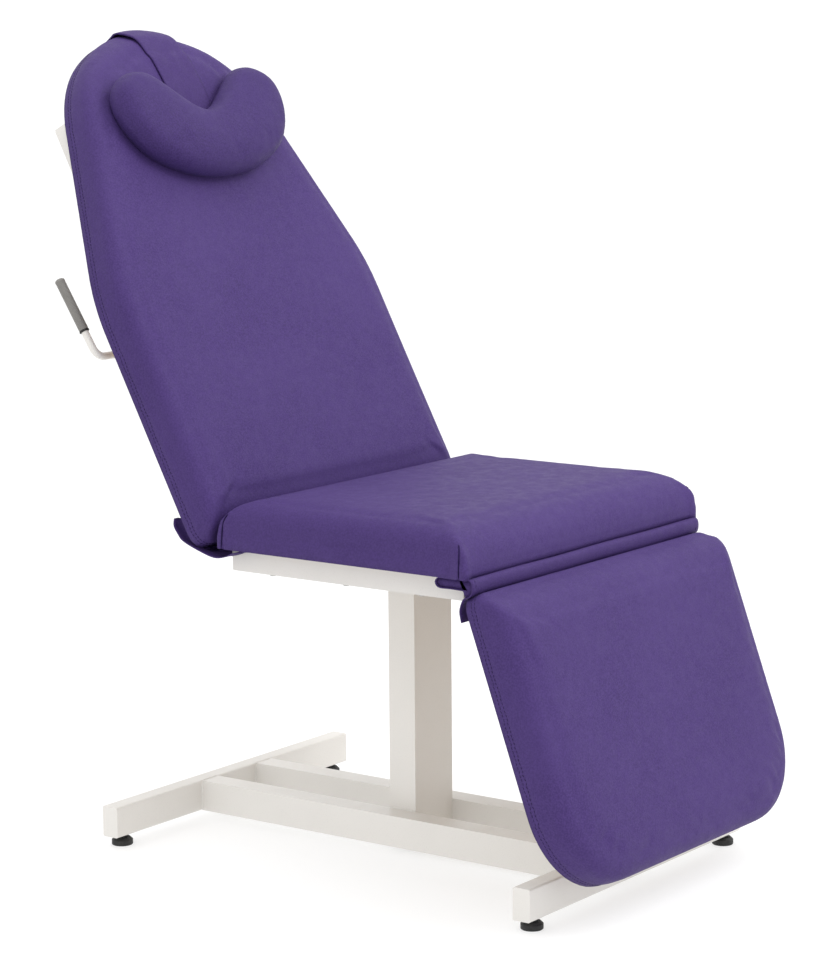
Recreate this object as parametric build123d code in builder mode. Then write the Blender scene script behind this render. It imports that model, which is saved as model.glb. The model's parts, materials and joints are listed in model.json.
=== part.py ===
from build123d import *
import os
from math import cos, radians, sin

# Treatment chair with a fixed column base, a seat, a reclining backrest and a lifting legrest.
# Millimetres. +Z is up, the sitter faces -Y and the sitter's right hand is towards -X.
# The origin is on the floor, under the middle of the chair's overall length and width.

# ---- driving dimensions -------------------------------------------------------------------
COLUMN_Y = -42.0            # the column stands this far from the middle of the overall length
FOOT_HEIGHT = 17.0          # floor to the underside of the base bars

BAR_LENGTH = 600.0
BAR_WIDTH = 30.0
BAR_HEIGHT = 50.0
BAR_SPACING = 790.0         # between the centrelines of the two cross bars
RAIL_WIDTH = 40.0
RAIL_GAP = 100.0            # the column fits between the two rails
COLUMN_WIDTH = 100.0
COLUMN_DEPTH = 50.0
WALL = 2.0                  # wall of the frame tubes
COLUMN_WALL = 3.0

SEAT_UNDERSIDE = 513.0
SEAT_THICKNESS = 70.0
SEAT_WIDTH = 640.0
SEAT_FRONT = -311.0         # from the column's axis, as every other Y below
SEAT_REAR = 154.0
SIDE_TUBE_HEIGHT = 40.0
SIDE_TUBE_WIDTH = 20.0
SIDE_TUBE_OUTER = 278.0     # half the width over the two side tubes
SIDE_TUBE_FRONT = -281.0
SIDE_TUBE_REAR = 151.0

BACK_PIVOT_Y = 206.0
BACK_PIVOT_Z = 505.0
BACK_ANGLE = 62.0           # above the horizontal
PAD_THICKNESS = 65.0
BACK_PAD_T = 13.0           # from the pivot's axis out to the pad's rear face
BACK_HALF_WIDTH = 321.0
BACK_BOTTOM = -6.4          # ends of the pad, measured up the backrest from the pivot
BACK_TOP = 860.0
BACK_SHOULDER = 405.0
HEAD_RADIUS = 235.0

LEG_PIVOT_Y = -293.0
LEG_PIVOT_Z = 504.0
LEG_ANGLE = 70.0            # below the horizontal
LEG_PAD_T = 8.5
LEG_HALF_WIDTH = 321.0
LEG_TOP = -21.5             # ends of the pad, measured up the legrest from the pivot
LEG_BOTTOM = -478.0

BOARD_THICKNESS = 12.0
BOARD_INSET = 14.0          # foam and cover around each board's edge
FRAME_TUBE = 40.0           # width of the backrest and legrest tubes
BACK_TUBE_DEPTH = 25.0
LEG_TUBE_DEPTH = 20.0
BACK_TUBE_OUTER = 217.0
BACK_TUBE_TOP = 715.0
LEG_TUBE_OUTER = 248.0
LEG_TUBE_BOTTOM = -380.0

SHAFT_RADIUS = 8.0          # backrest pivot shaft
PIN_RADIUS = 5.0            # legrest pins and crank pin
RUN_CLEARANCE = 0.05        # radial play of every running fit

CRANK_RADIUS = 80.0
CRANK_REST_ANGLE = -60.0    # of the crank, from +Y towards +Z
SPRING_X = 78.0             # the gas spring passes the column on the sitter's left
SPRING_ANCHOR_Y = -205.0
CYLINDER_RADIUS = 14.0

LEVER_S = 336.0             # lever shaft, up the backrest from the pivot
LEVER_T = -27.0
LEVER_X = -312.0
LEVER_RADIUS = 6.0

NECK_HALF_WIDTH = 201.0
NECK_THICKNESS = 58.0
STRAP_WIDTH = 92.0
STRAP_THICKNESS = 3.0

# ---- frames of the tilted sections --------------------------------------------------------
# In each tilted frame x is across the chair, s runs up the section and t points out of the
# pad's front face. Both start on the section's own pivot axis.


def tilted(pivot_y, pivot_z, degrees):
    tilt = radians(degrees)
    return Plane(
        origin=(0, COLUMN_Y + pivot_y, pivot_z),
        x_dir=(1, 0, 0),
        z_dir=(0, -sin(tilt), cos(tilt)),
    )


BACK = tilted(BACK_PIVOT_Y, BACK_PIVOT_Z, BACK_ANGLE)
LEG = tilted(LEG_PIVOT_Y, LEG_PIVOT_Z, LEG_ANGLE)


def facing_up(frame, x, s, t):
    """Plane at a point of a tilted frame, with its normal up the section."""
    return Plane(origin=frame.from_local_coords((x, s, t)), x_dir=frame.x_dir, z_dir=frame.y_dir)


def facing_across(frame, x):
    """Plane whose own x and y are the frame's s and t, and whose normal is +X."""
    return Plane(origin=frame.from_local_coords((x, 0, 0)), x_dir=frame.y_dir, z_dir=frame.x_dir)


def across(x, y, z):
    """Plane whose own x and y are +Y and +Z, and whose normal is +X."""
    return Plane(origin=(x, COLUMN_Y + y, z), x_dir=(0, 1, 0), z_dir=(1, 0, 0))


def lengthways(x, y, z):
    """Plane whose normal is +Y."""
    return Plane(origin=(x, COLUMN_Y + y, z), x_dir=(1, 0, 0), z_dir=(0, 1, 0))


def level(x, y, z):
    """Plane whose normal is +Z."""
    return Plane(origin=(x, COLUMN_Y + y, z), x_dir=(1, 0, 0), z_dir=(0, 0, 1))


# ---- helpers ------------------------------------------------------------------------------
os.makedirs("parts", exist_ok=True)


def save(piece, label):
    piece.part.label = label
    export_step(piece.part, f"parts/{label}.step")


def tube(plane, width, height, length, wall=WALL):
    """Rectangular tube that starts on a plane and runs along its normal."""
    with BuildPart() as piece:
        with BuildSketch(plane):
            Rectangle(width, height)
            Rectangle(width - 2 * wall, height - 2 * wall, mode=Mode.SUBTRACT)
        extrude(amount=length)
    return piece


def bar(plane, radius, length, bore=0.0):
    """Round bar, or round tube with a bore, along the plane's normal."""
    with BuildPart() as piece:
        with BuildSketch(plane):
            Circle(radius)
            if bore:
                Circle(bore, mode=Mode.SUBTRACT)
        extrude(amount=length)
    return piece


def plates(planes, width, height, thickness):
    """Equal rectangular plates, one on each plane."""
    with BuildPart() as piece:
        for plane in planes:
            with BuildSketch(plane):
                RectangleRounded(width, height, min(width, height) * 0.08)
            extrude(amount=thickness)
    return piece


SIDES = {"right": -1, "left": 1}      # the sitter's own right and left

# ---- base ---------------------------------------------------------------------------------
BAR_Z = FOOT_HEIGHT + BAR_HEIGHT / 2
BAR_Y = BAR_SPACING / 2
RAIL_X = (RAIL_GAP + RAIL_WIDTH) / 2
RAIL_LENGTH = BAR_SPACING - BAR_WIDTH
END_PLATE = 2.0
FOOT_X = BAR_LENGTH / 2 - 28.0
STUD_RADIUS = 5.0
FEET = {
    "front_right": (-FOOT_X, -BAR_Y),
    "front_left": (FOOT_X, -BAR_Y),
    "rear_right": (-FOOT_X, BAR_Y),
    "rear_left": (FOOT_X, BAR_Y),
}
BAR_INNER_LENGTH = BAR_LENGTH - 2 * END_PLATE
BAR_CORNER = 3.0


def base_bar(y):
    with BuildPart() as piece:
        with BuildSketch(across(-BAR_INNER_LENGTH / 2, y, BAR_Z)):
            RectangleRounded(BAR_WIDTH, BAR_HEIGHT, BAR_CORNER)
            RectangleRounded(
                BAR_WIDTH - 2 * WALL, BAR_HEIGHT - 2 * WALL, BAR_CORNER - WALL, mode=Mode.SUBTRACT
            )
        extrude(amount=BAR_INNER_LENGTH)
        for x in (-FOOT_X, FOOT_X):
            with BuildSketch(level(x, y, FOOT_HEIGHT)):
                Circle(STUD_RADIUS + RUN_CLEARANCE)
            extrude(amount=WALL, mode=Mode.SUBTRACT)
    return piece


save(base_bar(-BAR_Y), "base_bar_front")
save(base_bar(BAR_Y), "base_bar_rear")

with BuildPart() as base_bar_end_plates:
    for bar_y in (-BAR_Y, BAR_Y):
        for start in (-BAR_LENGTH / 2, BAR_INNER_LENGTH / 2):
            with BuildSketch(across(start, bar_y, BAR_Z)):
                RectangleRounded(BAR_WIDTH, BAR_HEIGHT, BAR_CORNER)
            extrude(amount=END_PLATE)
save(base_bar_end_plates, "base_bar_end_plates")

for side, sign in SIDES.items():
    rail = tube(
        lengthways(sign * RAIL_X, -RAIL_LENGTH / 2, BAR_Z), RAIL_WIDTH, BAR_HEIGHT, RAIL_LENGTH
    )
    save(rail, f"base_rail_{side}")

TOP_PLATE_THICKNESS = 6.0
CROSS_TUBE_DEPTH = 20.0
FRAME_Z = SEAT_UNDERSIDE - SIDE_TUBE_HEIGHT          # underside of the seat frame
COLUMN_TOP = FRAME_Z - TOP_PLATE_THICKNESS
column = tube(
    level(0, 0, FOOT_HEIGHT), COLUMN_WIDTH, COLUMN_DEPTH, COLUMN_TOP - FOOT_HEIGHT, COLUMN_WALL
)
save(column, "column")

TOP_PLATE_WIDTH = 180.0
TOP_PLATE_DEPTH = 140.0
MID_TUBE_Y = 45.0
with BuildPart() as column_top_plate:
    with BuildSketch(level(0, 0, COLUMN_TOP)):
        RectangleRounded(TOP_PLATE_WIDTH, TOP_PLATE_DEPTH, 8)
    extrude(amount=TOP_PLATE_THICKNESS)
save(column_top_plate, "column_top_plate")

INSERT_RADIUS = 9.0
INSERT_HEIGHT = 14.0
with BuildPart() as foot_inserts:
    for foot_x, foot_y in FEET.values():
        with BuildSketch(level(foot_x, foot_y, FOOT_HEIGHT + WALL)):
            RegularPolygon(INSERT_RADIUS, 6)
            Circle(STUD_RADIUS + RUN_CLEARANCE, mode=Mode.SUBTRACT)
        extrude(amount=INSERT_HEIGHT)
save(foot_inserts, "foot_threaded_inserts")

FOOT_PAD_RADIUS = 17.0
FOOT_PAD_EDGE = 8.0
FOOT_PAD_TOP = 12.0
FOOT_NECK_RADIUS = 9.0
FOOT_NECK_TOP = FOOT_HEIGHT - 0.3     # just clear of the bar's underside
STUD_TOP = 45.0


def levelling_foot(x, y):
    """Round pad with a sloping shoulder, a neck and a stud up into the bar."""
    with BuildPart() as piece:
        with BuildSketch(Plane(origin=(x, COLUMN_Y + y, 0), x_dir=(1, 0, 0), z_dir=(0, -1, 0))):
            with BuildLine():
                Polyline(
                    (0, 0),
                    (FOOT_PAD_RADIUS - 1, 0),
                    (FOOT_PAD_RADIUS, 1),
                    (FOOT_PAD_RADIUS, FOOT_PAD_EDGE),
                    (FOOT_PAD_RADIUS - 4, FOOT_PAD_TOP),
                    (FOOT_NECK_RADIUS, FOOT_PAD_TOP),
                    (FOOT_NECK_RADIUS, FOOT_NECK_TOP),
                    (STUD_RADIUS, FOOT_NECK_TOP),
                    (STUD_RADIUS, STUD_TOP),
                    (0, STUD_TOP),
                    close=True,
                )
            make_face()
        revolve(axis=Axis((x, COLUMN_Y + y, 0), (0, 0, 1)))
    return piece


for place, (foot_x, foot_y) in FEET.items():
    save(levelling_foot(foot_x, foot_y), f"levelling_foot_{place}")

# ---- seat frame ---------------------------------------------------------------------------
SIDE_TUBE_X = SIDE_TUBE_OUTER - SIDE_TUBE_WIDTH / 2
SIDE_TUBE_INNER = SIDE_TUBE_OUTER - SIDE_TUBE_WIDTH
SIDE_TUBE_Z = SEAT_UNDERSIDE - SIDE_TUBE_HEIGHT / 2
CAP_THICKNESS = 3.0
CROSS_TUBE_Z = FRAME_Z + CROSS_TUBE_DEPTH / 2
CROSS_TUBE_WIDTH = 40.0
CROSS_FRONT_Y = -250.0
CROSS_REAR_Y = 131.0
SIDE_TUBE_LENGTH = SIDE_TUBE_REAR - SIDE_TUBE_FRONT - 2 * CAP_THICKNESS
LEG_PIN_END = 283.0

for side, sign in SIDES.items():
    side_tube = tube(
        lengthways(sign * SIDE_TUBE_X, SIDE_TUBE_FRONT + CAP_THICKNESS, SIDE_TUBE_Z),
        SIDE_TUBE_WIDTH,
        SIDE_TUBE_HEIGHT,
        SIDE_TUBE_LENGTH,
    )
    save(side_tube, f"seat_side_tube_{side}")

seat_tube_caps = plates(
    [
        lengthways(sign * SIDE_TUBE_X, start, SIDE_TUBE_Z)
        for sign in SIDES.values()
        for start in (SIDE_TUBE_FRONT, SIDE_TUBE_REAR - CAP_THICKNESS)
    ],
    SIDE_TUBE_WIDTH,
    SIDE_TUBE_HEIGHT,
    CAP_THICKNESS,
)
save(seat_tube_caps, "seat_tube_caps")


def cross_tube(y):
    start = across(-SIDE_TUBE_INNER, y, CROSS_TUBE_Z)
    return tube(start, CROSS_TUBE_WIDTH, CROSS_TUBE_DEPTH, 2 * SIDE_TUBE_INNER)


save(cross_tube(CROSS_FRONT_Y), "seat_cross_tube_front")
save(cross_tube(CROSS_REAR_Y), "seat_cross_tube_rear")
save(cross_tube(-MID_TUBE_Y), "seat_cross_tube_middle_front")
save(cross_tube(MID_TUBE_Y), "seat_cross_tube_middle_rear")

# ---- seat cushion on its board ------------------------------------------------------------
SEAT_MIDDLE_Y = (SEAT_FRONT + SEAT_REAR) / 2
SEAT_DEPTH = SEAT_REAR - SEAT_FRONT
SEAT_CORNER = 12.0
SEAT_SIDE_ROUND = 30.0
SEAT_END_ROUND = 52.0


def seat_slab(inset, thickness):
    with BuildPart() as piece:
        with BuildSketch(level(0, SEAT_MIDDLE_Y, SEAT_UNDERSIDE)):
            RectangleRounded(
                SEAT_WIDTH - 2 * inset, SEAT_DEPTH - 2 * inset, SEAT_CORNER - inset / 2
            )
        extrude(amount=thickness)
    return piece


seat_board = seat_slab(BOARD_INSET, BOARD_THICKNESS)
save(seat_board, "seat_board")

# The foam rolls over on all four sides. Each rounded section reaches as far below the seat's
# underside as above it, so only its upper corners shape the cushion.
with BuildPart() as seat_cushion:
    add(seat_slab(0, SEAT_THICKNESS).part)
    with BuildSketch(lengthways(0, SEAT_FRONT - 1, SEAT_UNDERSIDE)):
        RectangleRounded(SEAT_WIDTH, 2 * SEAT_THICKNESS, SEAT_SIDE_ROUND)
    extrude(amount=SEAT_DEPTH + 2, mode=Mode.INTERSECT)
    with BuildSketch(across(-SEAT_WIDTH / 2 - 1, SEAT_MIDDLE_Y, SEAT_UNDERSIDE)):
        RectangleRounded(SEAT_DEPTH, 2 * SEAT_THICKNESS, SEAT_END_ROUND)
    extrude(amount=SEAT_WIDTH + 2, mode=Mode.INTERSECT)
    add(seat_board.part, mode=Mode.SUBTRACT)
save(seat_cushion, "seat_cushion")

# ---- backrest hinge -----------------------------------------------------------------------
LUG_X = 144.0
LUG_THICKNESS = 10.0
LUG_EYE = 12.3
LUG_ARM_TOP = SEAT_UNDERSIDE - 16.0
LUG_ARM_BOTTOM = FRAME_Z + 4.0
BUSH_RADIUS = SHAFT_RADIUS + 2.0


def backrest_hinge_lug(sign):
    """Arm off the rear cross tube with an eye around the backrest's pivot shaft."""
    with BuildPart() as piece:
        with BuildSketch(across(sign * LUG_X - LUG_THICKNESS / 2, 0, 0)):
            with Locations((BACK_PIVOT_Y, BACK_PIVOT_Z)):
                Circle(LUG_EYE)
            with BuildLine():
                Polyline(
                    (SIDE_TUBE_REAR, LUG_ARM_BOTTOM),
                    (BACK_PIVOT_Y - 12, LUG_ARM_BOTTOM),
                    (BACK_PIVOT_Y + 10, LUG_ARM_BOTTOM + 16),
                    (BACK_PIVOT_Y + 10, BACK_PIVOT_Z - 3),
                    (BACK_PIVOT_Y - 10, BACK_PIVOT_Z - 3),
                    (BACK_PIVOT_Y - 13, LUG_ARM_TOP),
                    (SIDE_TUBE_REAR, LUG_ARM_TOP),
                    close=True,
                )
            make_face()
            with Locations((BACK_PIVOT_Y, BACK_PIVOT_Z)):
                Circle(BUSH_RADIUS, mode=Mode.SUBTRACT)
        extrude(amount=LUG_THICKNESS)
    return piece


for side, sign in SIDES.items():
    save(backrest_hinge_lug(sign), f"backrest_hinge_lug_{side}")

with BuildPart() as backrest_hinge_bushes:
    for sign in SIDES.values():
        start = sign * LUG_X - LUG_THICKNESS / 2
        with BuildSketch(across(start, BACK_PIVOT_Y, BACK_PIVOT_Z)):
            Circle(BUSH_RADIUS)
            Circle(SHAFT_RADIUS + RUN_CLEARANCE, mode=Mode.SUBTRACT)
        extrude(amount=LUG_THICKNESS)
save(backrest_hinge_bushes, "backrest_hinge_bushes")

save(
    bar(across(-BACK_TUBE_OUTER, BACK_PIVOT_Y, BACK_PIVOT_Z), SHAFT_RADIUS, 2 * BACK_TUBE_OUTER),
    "backrest_pivot_shaft",
)

# ---- backrest frame -----------------------------------------------------------------------
BACK_TUBE_X = BACK_TUBE_OUTER - FRAME_TUBE / 2
BACK_TUBE_INNER = BACK_TUBE_OUTER - FRAME_TUBE
BACK_TUBE_T = BACK_PAD_T - BACK_TUBE_DEPTH / 2
BACK_TUBE_START = -10.0
BACK_TUBE_LENGTH = BACK_TUBE_TOP - BACK_TUBE_START
BACK_CROSS_LOWER = 130.0
BACK_CROSS_UPPER = 590.0

for side, sign in SIDES.items():
    with BuildPart() as backrest_tube:
        with BuildSketch(facing_up(BACK, sign * BACK_TUBE_X, BACK_TUBE_START, BACK_TUBE_T)):
            Rectangle(FRAME_TUBE, BACK_TUBE_DEPTH)
            Rectangle(FRAME_TUBE - 2 * WALL, BACK_TUBE_DEPTH - 2 * WALL, mode=Mode.SUBTRACT)
        extrude(amount=BACK_TUBE_LENGTH - CAP_THICKNESS)
        with BuildSketch(facing_across(BACK, -BACK_TUBE_OUTER)):
            Circle(SHAFT_RADIUS)
        extrude(amount=2 * BACK_TUBE_OUTER, mode=Mode.SUBTRACT)
    save(backrest_tube, f"backrest_tube_{side}")

backrest_tube_caps = plates(
    [
        facing_up(BACK, sign * BACK_TUBE_X, BACK_TUBE_TOP - CAP_THICKNESS, BACK_TUBE_T)
        for sign in SIDES.values()
    ],
    FRAME_TUBE,
    BACK_TUBE_DEPTH,
    CAP_THICKNESS,
)
save(backrest_tube_caps, "backrest_tube_caps")


def backrest_cross_tube(s):
    start = facing_across(BACK, -BACK_TUBE_INNER)
    with BuildPart() as piece:
        with BuildSketch(start):
            with Locations((s, BACK_TUBE_T)):
                Rectangle(BACK_TUBE_DEPTH, BACK_TUBE_DEPTH)
                Rectangle(
                    BACK_TUBE_DEPTH - 2 * WALL, BACK_TUBE_DEPTH - 2 * WALL, mode=Mode.SUBTRACT
                )
        extrude(amount=2 * BACK_TUBE_INNER)
    return piece


save(backrest_cross_tube(BACK_CROSS_LOWER), "backrest_cross_tube_lower")
save(backrest_cross_tube(BACK_CROSS_UPPER), "backrest_cross_tube_upper")

# ---- backrest cushion on its board --------------------------------------------------------
BULLNOSE_RADIUS = 62.0
HEAD_CENTRE = BACK_TOP - HEAD_RADIUS
HEAD_ARC_START = 17.4                # where the tapering sides meet the round head end
SHOULDER_RADIUS = 320.0
BACK_CORNER = 28.0
BACK_FRONT_EDGE = 25.0


def backrest_slab(inset, thickness):
    """Straight sides, a bend at the shoulders, tapering lines and a round head end."""
    half = BACK_HALF_WIDTH - inset
    with BuildPart() as piece:
        with BuildSketch(BACK.offset(BACK_PAD_T)):
            with BuildLine():
                head = CenterArc(
                    (0, HEAD_CENTRE), HEAD_RADIUS - inset, HEAD_ARC_START, 180 - 2 * HEAD_ARC_START
                )
                FilletPolyline(
                    head @ 0,
                    (half, BACK_SHOULDER),
                    (half, BACK_BOTTOM + inset),
                    (-half, BACK_BOTTOM + inset),
                    (-half, BACK_SHOULDER),
                    head @ 1,
                    radius=[SHOULDER_RADIUS, BACK_CORNER, BACK_CORNER, SHOULDER_RADIUS],
                )
            make_face()
        extrude(amount=thickness)
    return piece


backrest_board = backrest_slab(BOARD_INSET, BOARD_THICKNESS)
save(backrest_board, "backrest_board")

with BuildPart() as backrest_cushion:
    add(backrest_slab(0, PAD_THICKNESS).part)
    fillet(
        backrest_cushion.faces().sort_by(Axis((0, 0, 0), BACK.z_dir)).last.edges(), BACK_FRONT_EDGE
    )
    with BuildSketch(facing_across(BACK, -BACK_HALF_WIDTH - 1)):
        with BuildLine():
            front = BACK_PAD_T + PAD_THICKNESS
            nose = CenterArc(
                (BACK_BOTTOM + BULLNOSE_RADIUS, front - BULLNOSE_RADIUS), BULLNOSE_RADIUS, 90, 90
            )
            Polyline(
                nose @ 1,
                (BACK_BOTTOM, BACK_PAD_T),
                (BACK_TOP + 1, BACK_PAD_T),
                (BACK_TOP + 1, front),
                nose @ 0,
            )
        make_face()
    extrude(amount=2 * BACK_HALF_WIDTH + 2, mode=Mode.INTERSECT)
    add(backrest_board.part, mode=Mode.SUBTRACT)
save(backrest_cushion, "backrest_cushion")

# ---- crank and gas spring -----------------------------------------------------------------
CRANK_PLATE = 6.0
CRANK_GAP = 18.0                     # between the two crank plates
CRANK_PIN_Y = BACK_PIVOT_Y + CRANK_RADIUS * cos(radians(CRANK_REST_ANGLE))
CRANK_PIN_Z = BACK_PIVOT_Z + CRANK_RADIUS * sin(radians(CRANK_REST_ANGLE))
CRANK_EYE = 11.0
CRANK_HUB = 10.0

with BuildPart() as backrest_crank:
    for start in (SPRING_X - CRANK_GAP / 2 - CRANK_PLATE, SPRING_X + CRANK_GAP / 2):
        with BuildSketch(across(start, 0, 0)):
            with Locations((BACK_PIVOT_Y, BACK_PIVOT_Z)):
                Circle(CRANK_HUB)
            with Locations((CRANK_PIN_Y, CRANK_PIN_Z)):
                Circle(CRANK_EYE)
            with Locations(
                Location(
                    ((BACK_PIVOT_Y + CRANK_PIN_Y) / 2, (BACK_PIVOT_Z + CRANK_PIN_Z) / 2, 0),
                    (0, 0, CRANK_REST_ANGLE),
                )
            ):
                Rectangle(CRANK_RADIUS, 2 * CRANK_EYE)
            with Locations((BACK_PIVOT_Y, BACK_PIVOT_Z)):
                Circle(SHAFT_RADIUS, mode=Mode.SUBTRACT)
            with Locations((CRANK_PIN_Y, CRANK_PIN_Z)):
                Circle(PIN_RADIUS, mode=Mode.SUBTRACT)
        extrude(amount=CRANK_PLATE)
save(backrest_crank, "backrest_crank")

crank_pin_length = CRANK_GAP + 2 * CRANK_PLATE + 6
save(
    bar(across(SPRING_X - crank_pin_length / 2, CRANK_PIN_Y, CRANK_PIN_Z), PIN_RADIUS,
        crank_pin_length),
    "crank_pin",
)

ROD_RADIUS = 5.0
ROD_START_Y = CRANK_PIN_Y - 14.0     # the rod leaves the release head here
HEAD_REAR_Y = CRANK_PIN_Y - 21.0
HEAD_WIDTH = 16.0
HEAD_HEIGHT = 20.0
PISTON_LENGTH = 10.0
CYLINDER_REAR_Y = CRANK_PIN_Y - 122.0
PISTON_Y = CYLINDER_REAR_Y - 20.0
CYLINDER_FRONT_Y = SPRING_ANCHOR_Y + 16.0
CYLINDER_WALL = 1.5
ANCHOR_PIN_RADIUS = 5.0
ANCHOR_GAP = 20.0
ANCHOR_PLATE = 5.0

with BuildPart() as gas_spring_head:
    with BuildSketch(across(SPRING_X - HEAD_WIDTH / 2, CRANK_PIN_Y, CRANK_PIN_Z)):
        with Locations(((HEAD_REAR_Y - CRANK_PIN_Y) / 2, 0)):
            Rectangle(CRANK_PIN_Y - HEAD_REAR_Y, HEAD_HEIGHT)
        Circle(HEAD_HEIGHT / 2)
        Circle(PIN_RADIUS + RUN_CLEARANCE, mode=Mode.SUBTRACT)
    extrude(amount=HEAD_WIDTH)
    with BuildSketch(lengthways(SPRING_X, HEAD_REAR_Y, CRANK_PIN_Z)):
        Circle(ROD_RADIUS)
    extrude(amount=ROD_START_Y - HEAD_REAR_Y, mode=Mode.SUBTRACT)
save(gas_spring_head, "gas_spring_head")

with BuildPart() as gas_spring_rod:
    with BuildSketch(lengthways(SPRING_X, PISTON_Y, CRANK_PIN_Z)):
        Circle(ROD_RADIUS)
    extrude(amount=ROD_START_Y - PISTON_Y)
    with BuildSketch(lengthways(SPRING_X, PISTON_Y, CRANK_PIN_Z)):
        Circle(CYLINDER_RADIUS - CYLINDER_WALL - RUN_CLEARANCE)
    extrude(amount=-PISTON_LENGTH)
save(gas_spring_rod, "gas_spring_rod")

END_WALL = 8.0
EYE_WIDTH = 14.0
EYE_RADIUS = 10.0
with BuildPart() as gas_spring_cylinder:
    with BuildSketch(lengthways(SPRING_X, CYLINDER_FRONT_Y, CRANK_PIN_Z)):
        Circle(CYLINDER_RADIUS)
    extrude(amount=CYLINDER_REAR_Y - CYLINDER_FRONT_Y)
    with BuildSketch(lengthways(SPRING_X, CYLINDER_FRONT_Y + END_WALL, CRANK_PIN_Z)):
        Circle(CYLINDER_RADIUS - CYLINDER_WALL)
    extrude(amount=CYLINDER_REAR_Y - CYLINDER_FRONT_Y - 2 * END_WALL, mode=Mode.SUBTRACT)
    with BuildSketch(lengthways(SPRING_X, CYLINDER_REAR_Y - END_WALL, CRANK_PIN_Z)):
        Circle(ROD_RADIUS + RUN_CLEARANCE)
    extrude(amount=END_WALL, mode=Mode.SUBTRACT)
    with BuildSketch(across(SPRING_X - EYE_WIDTH / 2, SPRING_ANCHOR_Y, CRANK_PIN_Z)):
        Circle(EYE_RADIUS)
        with Locations(((CYLINDER_FRONT_Y - SPRING_ANCHOR_Y) / 2, 0)):
            Rectangle(CYLINDER_FRONT_Y - SPRING_ANCHOR_Y, 2 * EYE_RADIUS)
    extrude(amount=EYE_WIDTH)
    with BuildSketch(across(SPRING_X - EYE_WIDTH / 2, SPRING_ANCHOR_Y, CRANK_PIN_Z)):
        Circle(ANCHOR_PIN_RADIUS)
    extrude(amount=EYE_WIDTH, mode=Mode.SUBTRACT)
save(gas_spring_cylinder, "gas_spring_cylinder")

anchor_pin_length = ANCHOR_GAP + 2 * ANCHOR_PLATE + 6
save(
    bar(across(SPRING_X - anchor_pin_length / 2, SPRING_ANCHOR_Y, CRANK_PIN_Z),
        ANCHOR_PIN_RADIUS, anchor_pin_length),
    "gas_spring_anchor_pin",
)

# The crank pin swings in an arc, so the anchor's slots let the cylinder's end rise and fall.
CRANK_SAG = CRANK_RADIUS * (1 - cos(radians(BACK_ANGLE / 2)))
SLOT_WIDTH = 2 * ANCHOR_PIN_RADIUS + 3.0
SLOT_TOP = CRANK_PIN_Z + ANCHOR_PIN_RADIUS + 2.5
SLOT_BOTTOM = CRANK_PIN_Z - CRANK_SAG - ANCHOR_PIN_RADIUS - 2.5
ANCHOR_EDGE = 6.0
with BuildPart() as gas_spring_anchor:
    for start in (SPRING_X - ANCHOR_GAP / 2 - ANCHOR_PLATE, SPRING_X + ANCHOR_GAP / 2):
        with BuildSketch(across(start, SPRING_ANCHOR_Y, (FRAME_Z + SLOT_BOTTOM - ANCHOR_EDGE) / 2)):
            Rectangle(SLOT_WIDTH + 2 * ANCHOR_EDGE, FRAME_Z - SLOT_BOTTOM + ANCHOR_EDGE)
        extrude(amount=ANCHOR_PLATE)
        with BuildSketch(across(start, SPRING_ANCHOR_Y, (SLOT_TOP + SLOT_BOTTOM) / 2)):
            Rectangle(SLOT_WIDTH, SLOT_TOP - SLOT_BOTTOM)
        extrude(amount=ANCHOR_PLATE, mode=Mode.SUBTRACT)
save(gas_spring_anchor, "gas_spring_anchor")

# ---- release lever ------------------------------------------------------------------------
LEVER_ARM = 136.0
LEVER_BEND = 16.0
LEVER_LEAN = 5.0                     # the arm leans back from the pad by this angle
LEVER_INNER_X = -150.0
GRIP_RADIUS = 8.0
GRIP_LENGTH = 92.0
GRIP_END = 4.0                       # closed end of the grip, beyond the rod
BRACKET_THICKNESS = 6.0
BRACKET_EYE = 11.0
LEVER_BUSH_RADIUS = LEVER_RADIUS + 1.5

with BuildPart() as lever_brackets:
    for start in (-BACK_TUBE_OUTER, -BACK_TUBE_INNER - BRACKET_THICKNESS):
        with BuildSketch(facing_across(BACK, start)):
            with Locations((LEVER_S, LEVER_T)):
                Circle(BRACKET_EYE)
            with Locations((LEVER_S, (LEVER_T + BACK_TUBE_T - BACK_TUBE_DEPTH / 2) / 2)):
                Rectangle(2 * BRACKET_EYE, BACK_TUBE_T - BACK_TUBE_DEPTH / 2 - LEVER_T)
            with Locations((LEVER_S, LEVER_T)):
                Circle(LEVER_BUSH_RADIUS, mode=Mode.SUBTRACT)
        extrude(amount=BRACKET_THICKNESS)
save(lever_brackets, "lever_brackets")

with BuildPart() as lever_bushes:
    for start in (-BACK_TUBE_OUTER, -BACK_TUBE_INNER - BRACKET_THICKNESS):
        with BuildSketch(facing_across(BACK, start)):
            with Locations((LEVER_S, LEVER_T)):
                Circle(LEVER_BUSH_RADIUS)
                Circle(LEVER_RADIUS + RUN_CLEARANCE, mode=Mode.SUBTRACT)
        extrude(amount=BRACKET_THICKNESS)
save(lever_bushes, "lever_bushes")

lean = radians(LEVER_LEAN)
arm_end_s = LEVER_S + LEVER_ARM * cos(lean)
arm_end_t = LEVER_T - LEVER_ARM * sin(lean)
with BuildPart() as release_lever:
    with BuildLine() as lever_path:
        FilletPolyline(
            BACK.from_local_coords((LEVER_INNER_X, LEVER_S, LEVER_T)),
            BACK.from_local_coords((LEVER_X, LEVER_S, LEVER_T)),
            BACK.from_local_coords((LEVER_X, arm_end_s, arm_end_t)),
            radius=LEVER_BEND,
        )
    with BuildSketch(facing_across(BACK, LEVER_INNER_X)):
        with Locations((LEVER_S, LEVER_T)):
            Circle(LEVER_RADIUS)
    sweep(path=lever_path.wires()[0])
save(release_lever, "release_lever")

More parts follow.
